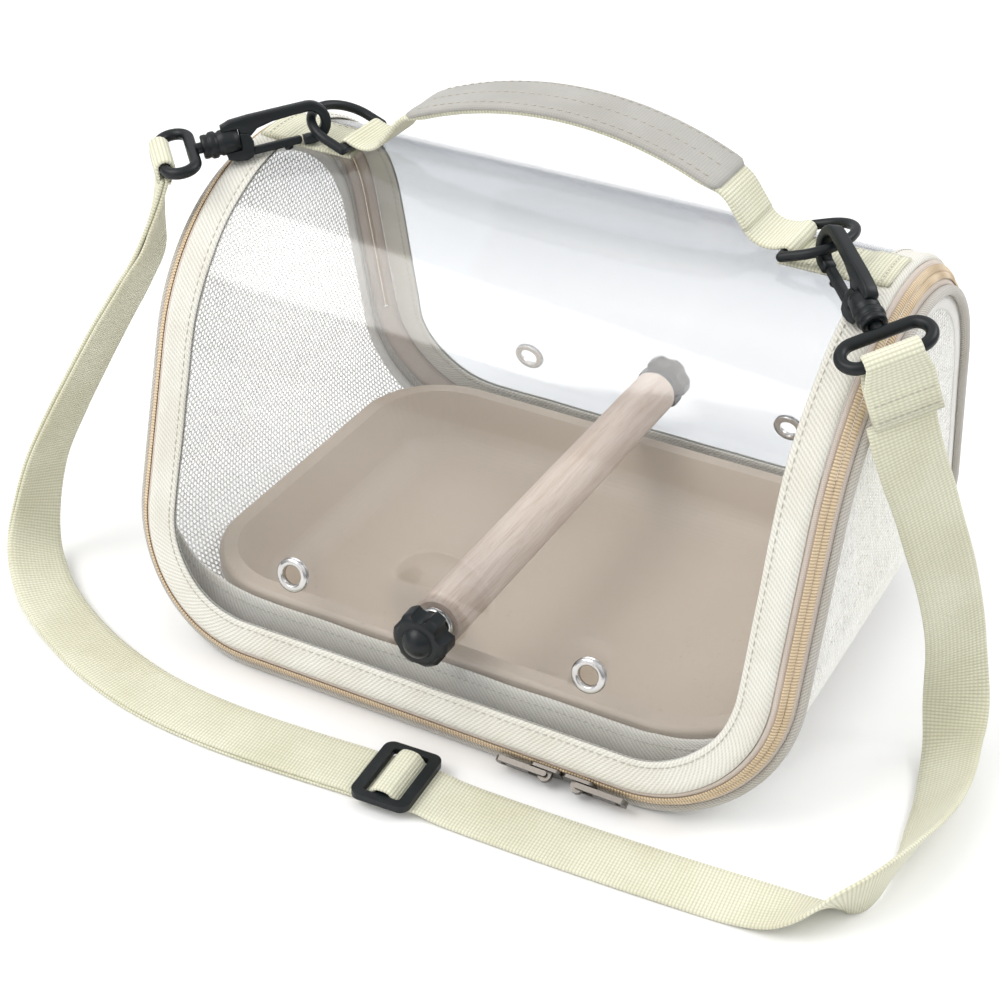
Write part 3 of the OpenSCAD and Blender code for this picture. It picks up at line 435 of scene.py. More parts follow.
def perch_grain(name):
    """Pale straight-grained wood, its grain along the perch"""
    net = Net(name)
    stretch = net.add("ShaderNodeMapping")
    stretch.inputs["Scale"].default_value = (1, 0.05, 1)
    net.link(net.place, stretch.inputs["Vector"])
    bands = net.cloud(260, 4, 0.6, stretch.outputs[0])
    pores = net.cloud(1600, 2, 0.6, stretch.outputs[0])
    col = net.shade(bands, (0.52, 0.405, 0.33), (0.65, 0.545, 0.465), 0.3, 0.68)
    col = net.tint(col, net.shade(pores, (0.80, 0.72, 0.66), WHITE, 0.3, 0.5), 0.7)
    net.colour(col)
    net.rough(bands, 0.5, 0.64)
    net.bump(pores, 0.06)
    return net.mat


def black_moulding(name, rough):
    net = Net(name)
    cloud = net.cloud(120, 4)
    net.colour(net.shade(cloud, (0.00275, 0.00495, 0.006325), (0.0044, 0.00715, 0.0088), 0.3, 0.7))
    net.rough(cloud, *rough)
    net.set(Specular_IOR_Level=0.34)
    net.bump(net.cloud(2200, 3), 0.03)
    return net.mat


def rolled_steel(name, base, rough):
    net = Net(name)
    cloud = net.cloud(320, 4)
    net.colour(net.shade(cloud, tuple(c * 0.86 for c in base), base, 0.3, 0.7))
    net.rough(cloud, rough - 0.06, rough + 0.08)
    net.set(Metallic=1.0)
    net.bump(net.cloud(2600, 2), 0.015)
    return net.mat


def soft_wrap(name):
    """Padded wrap: fine crossed grain of a coated cloth"""
    net = Net(name)
    u, v = net.uv()
    cells = net.add("ShaderNodeTexVoronoi")
    cells.inputs["Scale"].default_value = 900
    net.link(net.place, cells.inputs["Vector"])
    weave = net.math("MULTIPLY", net.wave(u, 0.0011), net.wave(v, 0.0011))
    soil = net.cloud(30, 4)
    col = net.shade(soil, (0.385, 0.375, 0.345), (0.45, 0.44, 0.41), 0.35, 0.65)
    # The weave tint darkens the grain's grooves: painted shade in the grooves.
    col = net.tint(col, net.shade(weave, (0.88, 0.87, 0.86), WHITE, 0, 0.5), 1.0)
    net.colour(col)
    net.rough(soil, 0.62, 0.74)
    net.set(Sheen_Weight=0.15, Specular_IOR_Level=0.3)
    net.bump(net.math("MULTIPLY_ADD", cells.outputs["Distance"], 0.6, weave), 0.1)
    return net.mat


def clear_film(name):
    """Thin clear sheet: light passes, with a soft gloss that grows at the edges"""
    net = Net(name)
    ripple = net.cloud(7, 1, 0.3)
    fine = net.cloud(24, 1, 0.4)
    bump = net.add("ShaderNodeBump")
    bump.inputs["Distance"].default_value = 0.004
    bump.inputs["Strength"].default_value = 0.3
    net.link(net.math("MULTIPLY_ADD", fine, 0.05, ripple), bump.inputs["Height"])
    net.set(Base_Color=(0.93, 0.95, 0.97, 1), Roughness=0.06, Specular_IOR_Level=0.8)
    net.link(bump.outputs[0], net.shader.inputs["Normal"])
    clear = net.add("ShaderNodeBsdfTransparent")
    gloss = net.add("ShaderNodeBsdfGlossy")
    gloss.inputs["Color"].default_value = (1, 1, 1, 1)
    gloss.inputs["Roughness"].default_value = 0.1
    net.link(bump.outputs[0], gloss.inputs["Normal"])
    edge = net.add("ShaderNodeLayerWeight")
    edge.inputs["Blend"].default_value = 0.5
    net.link(bump.outputs[0], edge.inputs["Normal"])
    tint = net.shade(edge.outputs["Facing"], (0.982, 0.985, 0.988), (0.856, 0.866, 0.878), 0.16, 0.42)
    net.link(tint, clear.inputs[0])
    mix = net.add("ShaderNodeMixShader")
    rise = net.math("POWER", edge.outputs["Facing"], 4.0)
    net.link(net.math("MULTIPLY_ADD", rise, 0.7, 0.035), mix.inputs[0])
    net.link(clear.outputs[0], mix.inputs[1])
    net.link(gloss.outputs[0], mix.inputs[2])
    out = net.tree.nodes["Material Output"]
    net.link(mix.outputs[0], out.inputs["Surface"])
    return net.mat


# The darker tone of each woven finish below is painted shade in the grooves of its weave. The lighter one is the
# cloth's colour on its threads.
WEBBING = ribbed_webbing("pale_webbing", (0.80, 0.79, 0.63), (0.58, 0.57, 0.43), 0.0013, 0.00156)
BINDING = twill("cream_binding", (0.78, 0.765, 0.70), (0.62, 0.60, 0.535), 0.0019, 0.2)
PIPING = twill("grey_piping", (0.56, 0.535, 0.49), (0.38, 0.355, 0.32), 0.0014)
TAPE = plain_cloth("zip_tape", (0.76, 0.68, 0.61), (0.60, 0.52, 0.45))
TEETH = zip_teeth("zip_teeth")
NETTING = net_yarn("net_yarn")
NET_BORDER = plain_cloth("net_border", (0.90, 0.89, 0.855), (0.76, 0.75, 0.71))
FLOOR_CLOTH = plain_cloth("floor_cloth", (0.86, 0.825, 0.755), (0.70, 0.665, 0.59), 0.0009)
TRAY = moulded_tray("tray_moulding")
PERCH = perch_grain("perch_wood")
BLACK = black_moulding("black_moulding", (0.34, 0.46))
KNOB = black_moulding("knob_moulding", (0.28, 0.4))
STEEL = rolled_steel("eyelet_steel", (0.62, 0.605, 0.59), 0.17)
SLIDER_METAL = rolled_steel("zip_slider_metal", (0.17, 0.155, 0.14), 0.34)
WRAP = soft_wrap("wrap_cloth")
LIP = twill("base_lip", (0.76, 0.735, 0.665), (0.60, 0.575, 0.51), 0.0019, 0.2)
THREAD = plain_cloth("thread", (0.56, 0.54, 0.475), (0.42, 0.40, 0.345), 0.0005, 0.05)
FILM = clear_film("clear_film")

# ---- Shoulder strap ----


def strap_layer(route, off):
    """The route of a second layer, off above or below the first"""
    return [[*(p + off * m), *w] for p, w, m in band_frames(route)]


def strap_band(name, route, node):
    """A free run of the strap, swept as a band along its middle line"""
    line = smooth_through(route, 6)
    rings = [band_ring(p, w, m, WEB_W / 2, STRAP_T) for p, w, m in band_frames(line)]
    ob = swept(name, rings, WEBBING, "lid", node)


strap_band("strap_band_long", STRAP_ROUTE + LEFT_ROUTE, "strap_long")
return_route = RETURN_END + strap_layer(LEFT_ROUTE, -LAYER_STEP)
strap_band("strap_band_return", return_route[::-1], "strap_return")


def swivel_turn(side, of_hook=False):
    place, tilt, aim, ring_roll, hook_roll = SWIVELS[side]
    roll = hook_roll if of_hook else ring_roll
    turn = (Matrix.Rotation(math.radians(aim), 3, "Z") @ Matrix.Rotation(math.radians(tilt), 3, "Y")
            @ Matrix.Rotation(math.radians(roll), 3, "Z"))
    return Vector(place), turn


def strap_fold(side, down, tail, stitch_rows=()):
    """Band end laid round the ring's bar, and its stitches: down is the strap's way below the bar, tail the under
    layer's length, stitch_rows the rows' distances below the bar"""
    place, turn = swivel_turn(side)
    bar = place - RING_REACH * turn.col[2]
    wide = turn.col[1].normalized()
    down = (down - down.dot(wide) * wide).normalized()
    out = wide.cross(down).normalized()
    bend = RING_WIRE + 0.15 + STRAP_T / 2
    line = []
    for s in (tail, tail * 0.66, tail * 0.33, 4.5):
        line.append((bar + s * down - (0.95 + (bend - 0.95) * max(0, 1 - s / 9)) * out, s))
    for k in range(9):
        a = math.pi * k / 8
        line.append((bar - bend * math.cos(a) * out - bend * math.sin(a) * down, 0))
    for s in (4.5, tail * 0.33, tail * 0.66, tail):
        line.append((bar + s * down + (0.95 + (bend - 0.95) * max(0, 1 - s / 9)) * out, s))
    rings = []
    n = len(line)
    for i, (p, s) in enumerate(line):
        ahead = (line[min(i + 1, n - 1)][0] - line[max(i - 1, 0)][0]).normalized()
        half = WEB_W / 2 - 2.2 * max(0, 1 - s / 8)
        rings.append(band_ring(p, wide, ahead.cross(wide), half, STRAP_T))
    swept(f"{side}_fold", rings, WEBBING, "lid", f"{side}_strap_fold")
    return [(bar + s * down + k * 2.5 * wide + face * 1.85 * out, wide, out)
            for s in stitch_rows for k in range(-4, 5) for face in (-1, 1)]


right_marks = strap_fold("right", Vector((4.5, 1.9, -16.4)), 24.5, (15, 22))
strap_fold("left", Vector((-3.75, -1.45, -22)), 5.5)
stitching("right_fold_stitches", right_marks, THREAD, "lid", 1.9)

# ---- Rim path of the cover ----


def on_front(x, s, w=0.0):
    """Place on the front panel: x along it, s up its slope, w out of it"""
    return Vector((x, -HALF_D, 0)) + s * UP_SLOPE + w * OUTWARD


def back_of(v):
    """The same place or direction on the back, which mirrors the front"""
    return Vector((v.x, -v.y, v.z))


def rim_half():
    """Stations a millimetre apart from the middle of the front's bottom edge to the crown's top on the right,
    each a place, the way out in the panel's plane and the way out of the panel"""
    steps = int(CORNER_X)
    out = [(on_front(CORNER_X * i / steps, EDGE_S), -UP_SLOPE, OUTWARD) for i in range(steps)]
    steps = int(CORNER_R * math.pi / 2)
    for i in range(steps):
        a = -math.pi / 2 * (1 - i / steps)
        u = math.cos(a) * X_AXIS + math.sin(a) * UP_SLOPE
        out.append((on_front(CORNER_X, CORNER_S) + CORNER_R * u, u, OUTWARD))
    steps = int(FACE_L - CORNER_S)
    out += [(on_front(EDGE_X, CORNER_S + (FACE_L - CORNER_S) * i / steps), X_AXIS, OUTWARD) for i in range(steps)]
    steps = int(CROWN_R * (math.pi / 2 - LEAN))
    for i in range(steps + 1):
        a = LEAN + (math.pi / 2 - LEAN) * i / steps
        v = Vector((0, -math.cos(a), math.sin(a)))
        out.append((Vector((EDGE_X, 0, CROWN_Z)) + CROWN_R * v, X_AXIS, v))
    return out


def flip_x(v):
    return Vector((-v.x, v.y, v.z))


def rim_loop():
    """The whole rim once round, from the front's bottom middle over the right end, the back and the left end"""
    half = rim_half()
    back = [tuple(back_of(v) for v in st) for st in half[::-1][1:]]
    right = half + back
    left = [tuple(flip_x(v) for v in st) for st in right[::-1]]
    return right + left[1:-1]


RIM = rim_loop()


def is_back_run(p):
    """True along the back bottom edge and its corners, where the cover stays sewn down"""
    return p.y > 0 and p.z < CORNER_S * math.cos(LEAN) - 0.01


def between(a, b):
    """Station just short of half way, which leaves a hair's gap between the two parts of the rim"""
    return tuple(p.lerp(q, 0.47) for p, q in zip(a, b))


def rim_part(back):
    """The rim's run along the back seam, or the rest of it"""
    n = len(RIM)
    here = [is_back_run(st[0]) == back for st in RIM]
    start = next(i for i in range(n) if here[i] and not here[i - 1])
    run = [between(RIM[start - 1], RIM[start])]
    k = start
    while here[k % n]:
        run.append(RIM[k % n])
        k += 1
    run.append(between(run[-1], RIM[k % n]))
    return run


ZIP_RUN = rim_part(False)
BACK_RUN = rim_part(True)


def section_rings(run, section):
    return [[p + a * u + b * v for a, b in section] for p, u, v in run]


def seam_point(t, w):
    """Place in a rim section: t along the seam strip, w out of it"""
    c, s = math.cos(SEAM_A), math.sin(SEAM_A)
    return (TAPE_U + t * c - w * s, TAPE_V + t * s + w * c)


def strip_section(t0, t1, w0, w1, parts=3):
    low = [seam_point(t0 + (t1 - t0) * i / parts, w0) for i in range(parts + 1)]
    high = [seam_point(t1 - (t1 - t0) * i / parts, w1) for i in range(parts + 1)]
    return low + high


def resampled(run, step):
    """Stations of a run at even steps of length"""
    total = [0.0]
    for a, b in zip(run, run[1:]):
        total.append(total[-1] + (b[0] - a[0]).length)
    count = int(total[-1] / step)
    out = []
    i = 0
    for k in range(count + 1):
        s = total[-1] * k / count
        while i < len(run) - 2 and total[i + 1] < s:
            i += 1
        f = (s - total[i]) / max(total[i + 1] - total[i], 1e-9)
        out.append(tuple(a.lerp(b, f) for a, b in zip(run[i], run[i + 1])))
    return out


TOOTH_STEP = 0.4
TEETH_MEET = 0.99


def zip_row(name, run, t0, t1, node, body):
    """Sewn row of zip teeth: a cord that swells once for each tooth, and reaches the other row where the zip is shut"""
    rings = []
    for i, (p, u, v) in enumerate(resampled(run, TOOTH_STEP)):
        swell = 1.0 if i % 3 else 0.78
        under_sliders = p.y < 0 and p.z < 20 and 49 < p.x < 71
        shut = 0.0 if under_sliders else TEETH_MEET
        a0, a1 = (t0, t1 + shut) if t0 < SEAM_MID - 1 else (t0 - shut, t1)
        ring = []
        for k in range(8):
            a = 2 * math.pi * k / 8
            t = (a0 + a1) / 2 + (a1 - a0) / 2 * (0.5 + 0.5 * swell) * math.cos(a)
            q = seam_point(t, 0.85 + 0.55 * swell * math.sin(a))
            ring.append(p + q[0] * u + q[1] * v)
        rings.append(ring)
    swept(name, rings, TEETH, body, node, smooth=False)


def binding_section():
    top, low, slot = BIND_T, -1 - BIND_T, 0.05
    inner = -BIND_W + 0.4
    return [(-BIND_W, 0.12), (inner, 0.62), (-BIND_W + 1.4, top - 0.1), (-9.2, top - 0.12), (-7, top),
            (-5.4, top + 0.1), (-3.6, top + 0.4), (-1.8, top + 0.3), (-0.6, 0.6), (0, -0.1), (0, -0.9), (-0.5, -1.55),
            (-1.6, low), (-4, low - 0.05), (-7, low), (-9.2, low + 0.12), (-BIND_W + 1.4, low + 0.1), (inner, -1.62),
            (-BIND_W, -1.12), (-BIND_W + 0.5, -1 - slot), (-2, -1 - slot), (-2, slot), (-BIND_W + 0.5, slot)]


def binding():
    """Ribbed tape folded over the sheet's edge, a little uneven as sewn"""
    section = binding_section()
    rings = []
    for i, (p, u, v) in enumerate(RIM):
        wander = 0.35 * drift(i * 0.045, 1.7, 0)
        puff = 0.16 * drift(i * 0.11, 7.3, 0)
        ring = []
        for a, b in section:
            inner = clamp(-a / BIND_W)
            lift = puff * (1 - abs(inner - 0.5) * 2) * (1 if b > 0.3 else -1 if b < -1.3 else 0)
            ring.append(p + (a + wander * inner ** 3) * u + (b + lift) * v)
        rings.append(ring)
    swept("rim_binding", rings, BINDING, "lid", "cover_binding", closed_path=True)
    marks = []
    run = resampled(RIM + [RIM[0]], 3.2)
    for i in range(len(run) - 1):
        p, u, v = run[i]
        ahead = (run[i + 1][0] - p).normalized()
        for b, side in ((BIND_T - 0.03, 1), (-1 - BIND_T + 0.03, -1)):
            marks.append((p - (BIND_W - 2.3) * u + b * v, ahead, v * side))
    stitching("binding_stitches", marks, THREAD, "lid", 2.3, 0.55, 0.5)


def piping():
    section = [(PIPING_U + PIPING_R * math.cos(a), PIPING_V + PIPING_R * math.sin(a))
               for a in [2 * math.pi * k / 14 for k in range(14)]]
    return swept("base_piping", section_rings(RIM, section), PIPING, "base", "gusset_piping",
                 closed_path=True)


binding()
piping()
swept("zip_tape_lower", section_rings(ZIP_RUN, strip_section(SEAM_MID + 1, SEAM_L - 0.05, -0.3, 0.3)), TAPE,
      "base", "zip_tape_base")
swept("zip_tape_upper", section_rings(ZIP_RUN, strip_section(0.1, SEAM_MID - 1, -0.3, 0.3)), TAPE,
      "lid", "zip_tape_cover")
swept("back_seam_tape", section_rings(BACK_RUN, strip_section(0.05, SEAM_L - 0.05, -0.3, 0.3)), TAPE,
      "base", "back_hinge_strip")
zip_row("zip_teeth_lower", ZIP_RUN, SEAM_MID + 1, SEAM_MID + 3.05, "zip_coil_base", "base")
zip_row("zip_teeth_upper", ZIP_RUN, SEAM_MID - 3.05, SEAM_MID - 1, "zip_coil_cover", "lid")

# ---- Clear cover ----


FILM_INSET = 2.2


def cover_film():
    """One sheet from the front's bottom edge over the crown to the back's, cut to the rounded rim"""
    inner = EDGE_X - FILM_INSET
    s_low = EDGE_S + FILM_INSET
    round_r = CORNER_R - FILM_INSET
    s_values = [CORNER_S - round_r * math.sin(math.pi / 2 * (1 - i / 24)) for i in range(25)]
    s_values += [CORNER_S + (FACE_L - CORNER_S) * (i + 1) / 26 for i in range(26)]
    half = []
    for s in s_values:
        reach = inner if s >= CORNER_S else CORNER_X + math.sqrt(max(0, round_r ** 2 - (CORNER_S - s) ** 2))
        half.append((on_front(0, s), OUTWARD, reach, s))
    arc = 44
    for i in range(1, arc + 1):
        a = LEAN + (math.pi / 2 - LEAN) * i / arc
        v = Vector((0, -math.cos(a), math.sin(a)))
        half.append((Vector((0, 0, CROWN_Z)) + CROWN_R * v, v, inner, FACE_L + CROWN_R * (a - LEAN)))
    full = [(p, v, r, s, -1) for p, v, r, s in half]
    full += [(back_of(p), back_of(v), r, s, 1) for p, v, r, s in half[::-1][1:]]
    cols = 88
    rows = []
    for p, v, reach, s, face in full:
        row = []
        for j in range(cols + 1):
            x = -reach + 2 * reach * j / cols
            plain = p + Vector((x, 0, 0)) - 0.5 * v
            edge = clamp((reach - abs(x)) / 22) * clamp((s - s_low) / 22)
            calm = ease(edge)
            top = clamp((s - FACE_L) / 30)
            bend = drift(x / 110, s * face / 85, 2.1) * 1.1
            q = plain + v * bend * calm * (1 - 0.6 * top)
            near = math.hypot(x, q.z - PERCH_Z)
            if near < 26 and s < FACE_L:
                flat = ease(clamp((26 - near) / 14))
                q.y = q.y * (1 - flat) + face * (SEAT_Y - 0.5) * flat
            for gx in (-EYELET_X, EYELET_X):
                near = math.hypot(x - gx, s - SEAT_S)
                if near < 16 and s < FACE_L:
                    q = q.lerp(plain, clamp((16 - near) / 8))
            row.append(q)
        rows.append(row)
    bm = bmesh.new()
    skin(bm, rows, closed_ring=False)
    holes = []
    for face in (-1, 1):
        holes.append((Vector((0, face * (SEAT_Y - 0.5), PERCH_Z)), Vector((0, face, 0)), 4.9))
        for gx in (-EYELET_X, EYELET_X):
            at = on_front(gx, SEAT_S, -0.5)
            way = OUTWARD.copy()
            if face > 0:
                at, way = back_of(at), back_of(way)
            holes.append((at, way, 4.9))
    for at, way, r in holes:
        at = at / 1000
        r = r / 1000
        cut = [f for f in bm.faces if (f.calc_center_median() - at).length < r]
        bmesh.ops.delete(bm, geom=cut, context="FACES")
        for v in bm.verts:
            d = v.co - at
            if d.length < 2.2 * r and v.is_boundary:
                d -= d.dot(way) * way
                v.co = at + d.normalized() * r
    ob = fitted("cover_film", bm, FILM, "lid", "clear_cover")
    shell = ob.modifiers.new("thickness", "SOLIDIFY")
    shell.thickness = 0.0006
    shell.offset = 0


cover_film()

# ---- Net ends ----


def end_reach(z):
    """Half width of an end panel at height z"""
    if z < CROWN_Z + NET_R * math.sin(LEAN):
        return BASE_Y - z * math.tan(LEAN)
    return math.sqrt(max(0, NET_R ** 2 - (z - CROWN_Z) ** 2))


BASE_R, BASE_CX = 57.0, 84.0
CURVE_L = BASE_R * math.pi / 2


def end_wall(m, y, t, off=0.0):
    """Place on an end wall, t along it from the floor's edge up the curve, off outwards"""
    if t < CURVE_L:
        a = t / BASE_R
        r = BASE_R - 0.7 + off
        return Vector((m * (BASE_CX + r * math.sin(a)), y, BASE_R - r * math.cos(a)))
    z = BASE_R + t - CURVE_L
    bow = 1.3 * math.cos(math.pi / 2 * min(1, abs(y) / 95)) * math.sin(math.pi * clamp((z - BASE_R) / 116))
    return Vector((m * (BASE_CX + BASE_R - 0.7 - bow + off), y, z))


def wall_reach(t):
    return end_reach(end_wall(1, 0, t).z)


TOP_T = CURVE_L + CROWN_Z + NET_R - BASE_R


def net_part(name, m, low, high, node):
    """Open net of small six-sided meshes between two heights t of an end wall"""
    pitch = 2.3
    row_h = pitch * math.sqrt(3) / 2
    bm = bmesh.new()
    bmesh.ops.create_circle(bm, cap_ends=True, segments=6, radius=pitch / math.sqrt(3),
                            matrix=Matrix.Rotation(math.radians(30), 4, "Z"))
    bmesh.ops.inset_individual(bm, faces=list(bm.faces), thickness=0.33, use_even_offset=True)
    bmesh.ops.delete(bm, geom=[f for f in bm.faces if len(f.verts) == 6], context="FACES_ONLY")
    cell = list(bm.verts) + list(bm.edges) + list(bm.faces)
    for k in range(1, 86):
        copy = bmesh.ops.duplicate(bm, geom=cell)["geom"]
        bmesh.ops.translate(bm, verts=[g for g in copy if isinstance(g, bmesh.types.BMVert)], vec=(k * pitch, 0, 0))
    bmesh.ops.translate(bm, verts=bm.verts, vec=(-42.5 * pitch, 0, 0))
    row = bpy.data.meshes.new("row")
    bm.to_mesh(row)
    bm.free()
    bm = bmesh.new()
    start = math.ceil(low / row_h)
    for j in range(start, int(high / row_h) + 1):
        fresh = bmesh.new()
        fresh.from_mesh(row)
        bmesh.ops.translate(fresh, verts=fresh.verts, vec=((pitch / 2 if j % 2 else 0), j * row_h, 0))
        reach = wall_reach(j * row_h) - 2.2
        wide = [v for v in fresh.verts if abs(v.co.x) > reach]
        bmesh.ops.delete(fresh, geom=wide, context="VERTS")
        lone = bpy.data.meshes.new("rows")
        fresh.to_mesh(lone)
        fresh.free()
        bm.from_mesh(lone)
        bpy.data.meshes.remove(lone)
    bpy.data.meshes.remove(row)
    bmesh.ops.remove_doubles(bm, verts=bm.verts, dist=0.05)
    for v in bm.verts:
        v.co = end_wall(m, v.co.x, v.co.y) / 1000
    bmesh.ops.recalc_face_normals(bm, faces=bm.faces)
    ob = fitted(name, bm, NETTING, "base", node, smooth=False)
    yarn = ob.modifiers.new("yarn", "SOLIDIFY")
    yarn.thickness = 0.0004
    yarn.offset = 0


def wall_border(side, m):
    """Sewn strip along an end wall's edge, from the floor over the crown and down again"""
    half = []
    top = CURVE_L + CROWN_Z + NET_R * math.sin(LEAN) - BASE_R
    for i in range(60):
        t = top * i / 60
        half.append((-wall_reach(t), t))
    for i in range(45):
        a = LEAN + (math.pi / 2 - LEAN) * i / 44
        half.append((-NET_R * math.cos(a), CURVE_L + CROWN_Z - BASE_R + NET_R * math.sin(a)))
    way = half + [(-y, t) for y, t in half[::-1][1:]]
    rings = []
    n = len(way)
    for i in range(n):
        (y0, t0), (y1, t1) = way[max(i - 1, 0)], way[min(i + 1, n - 1)]
        d = Vector((y1 - y0, t1 - t0)).normalized()
        inward = Vector((d.y, -d.x))
        y, t = way[i]
        rings.append([end_wall(m, y + a * inward.x, t + a * inward.y, b) for a, b in
                      ((0.1, 0.65), (2.5, 0.75), (5.0, 0.7), (5.6, 0.1), (5.0, -0.5), (2.5, -0.6), (0.1, -0.5))])
    swept(f"{side}_net_border", rings, NET_BORDER, "base", None)


for end_side, end_m in (("left", -1), ("right", 1)):
    net_part(f"{end_side}_net", end_m, CURVE_L, TOP_T - 3, f"{end_side}_end_mesh")
    net_part(f"{end_side}_curve_net", end_m, 3, CURVE_L, None)
    wall_border(end_side, end_m)

# ---- Base ----


FLOOR_T = 2.4


def base_floor():
    """Cloth floor between the two ends, up to where each starts to curve"""
    def turn_up(m, i):
        a = math.pi / 56 * i
        return m * (BASE_CX + BASE_R * math.sin(a)), BASE_R - BASE_R * math.cos(a), m * math.sin(a), -math.cos(a)

    line = [turn_up(-1, 2), turn_up(-1, 1), turn_up(-1, 0)]
    line += [(BASE_CX * (i / 12 - 1), 0.0, 0.0, -1.0) for i in range(1, 24)]
    line += [turn_up(1, 0), turn_up(1, 1)]
    rings = []
    for x, z, nx, nz in line:
        reach = BASE_Y - z * math.tan(LEAN) - 0.02
        across = [reach * (k / 6 - 1) for k in range(13)]
        rings.append([(x, y, z) for y in across] + [(x - FLOOR_T * nx, -y, z - FLOOR_T * nz) for y in across])
    swept("base_floor", rings, FLOOR_CLOTH, "base", "base_panel", smooth=False)


base_floor()


LIP_TOP = 64.0


def front_lip():
    """Ribbed edge of the base's own cloth, sewn behind the cover's rim along the bottom and round its corners"""
    run = [st for st in RIM if st[0].y < 0 and st[0].z < LIP_TOP]
    start = next(i for i in range(len(run)) if (run[i][0] - run[i - 1][0]).length > 5)
    run = run[start:] + run[:start]
    rings = []
    marks = []
    for i, (p, u, v) in enumerate(run):
        low = clamp((LIP_TOP - p.z) / 50)
        reach = 2 - 21 * low + 0.5 * drift(i * 0.05, 2.2, -1)
        sway = 0.5 * drift(i * 0.03, 8.2, -1)
        section = [(6.0, -12.6), (reach + 2.5, -11.2 + sway), (reach + 0.8, -10.9 + sway), (reach, -11.4 + sway),
                   (reach + 0.8, -11.9 + sway), (reach + 2.5, -12.2 + sway), (6.0, -13.4)]
        rings.append([p + a * u + b * v for a, b in section])
        if i % 3 == 1 and low > 0.35:
            marks.append((p + (reach + 4.2) * u + (-11.0 + sway) * v, (run[i + 1][0] - p).normalized(), v))
    swept("front_lip", rings, LIP, "base", None)
    stitching("front_lip_stitches", marks, THREAD, "base", 2.0, 0.6, 0.5)


front_lip()

# ---- Handle ----
DRING_X, DRING_WIRE, DRING_HALF = 91.0, 1.9, 15.1
FOLD_R = DRING_WIRE + 0.05
DRING_Z = 186 + 0.05 + FOLD_R + 1.5
ROOT_Z = DRING_Z + 1
HANDLE_R, SHOULDER_R, TURN_R = 148.5, 14.0, 10.0
SHOULDER_A = math.radians(53)
WRAP_A = math.asin(64 / HANDLE_R)
HANDLE_CZ = 222 - HANDLE_R


def heading(a):
    """Unit way in x and z, a from straight up"""
    return Vector((math.sin(a), math.cos(a)))


SHOULDER_C = Vector((0, HANDLE_CZ)) + (HANDLE_R - SHOULDER_R) * heading(WRAP_A)
SHOULDER_P = SHOULDER_C + SHOULDER_R * heading(SHOULDER_A)
TURN_CZ = ROOT_Z + TURN_R
SLOPE_L = (SHOULDER_P.y - (TURN_CZ - TURN_R * math.cos(SHOULDER_A))) / math.sin(SHOULDER_A)
TURN_CX = SHOULDER_P.x + SLOPE_L * math.cos(SHOULDER_A) + TURN_R * math.sin(SHOULDER_A)
TURN_C = Vector((TURN_CX, TURN_CZ))
SWING_X = TURN_CX - TURN_R * math.sin(SHOULDER_A) - 0.6


def handle_line():
    """Right half of the handle's middle line in x and z, from its top to the D-ring"""
    pts = [Vector((0, HANDLE_CZ)) + HANDLE_R * heading(WRAP_A * i / 24) for i in range(25)]
    pts += [SHOULDER_C + SHOULDER_R * heading(WRAP_A + (SHOULDER_A - WRAP_A) * i / 8) for i in range(1, 9)]
    end = TURN_C - TURN_R * heading(SHOULDER_A)
    pts += [SHOULDER_P.lerp(end, i / 6) for i in range(1, 6)]
    return pts + [TURN_C - TURN_R * heading(SHOULDER_A * (1 - i / 8)) for i in range(9)]


def cut_line(line, low, high):
    """The part of a line between two distances x from the middle"""
    out = []
    for a, b in zip(line, line[1:]):
        for p in (a, a.lerp(b, (low - a.x) / (b.x - a.x)), a.lerp(b, (high - a.x) / (b.x - a.x)), b):
            if low - 1e-3 <= p.x <= high + 1e-3 and a.x - 1e-3 <= p.x <= b.x + 1e-3:
                if not out or p.x > out[-1].x + 4e-3:
                    out.append(p)
    return out


def webbing_rings(line, half, thick):
    """Band through points in x and z, its width along y"""
    rings = []
    n = len(line)
    for i, p in enumerate(line):
        ahead = (line[min(i + 1, n - 1)] - line[max(i - 1, 0)]).normalized()
        normal = Vector((-ahead.y, 0, ahead.x))
        if normal.z < 0 and abs(ahead.x) > 0.3:
            normal = -normal
        rings.append(band_ring(Vector((p.x, 0, p.y)), Vector((0, 1, 0)), normal, half, thick))
    return rings


PAD_HALF, PAD_RISE = 14.5, 1.7


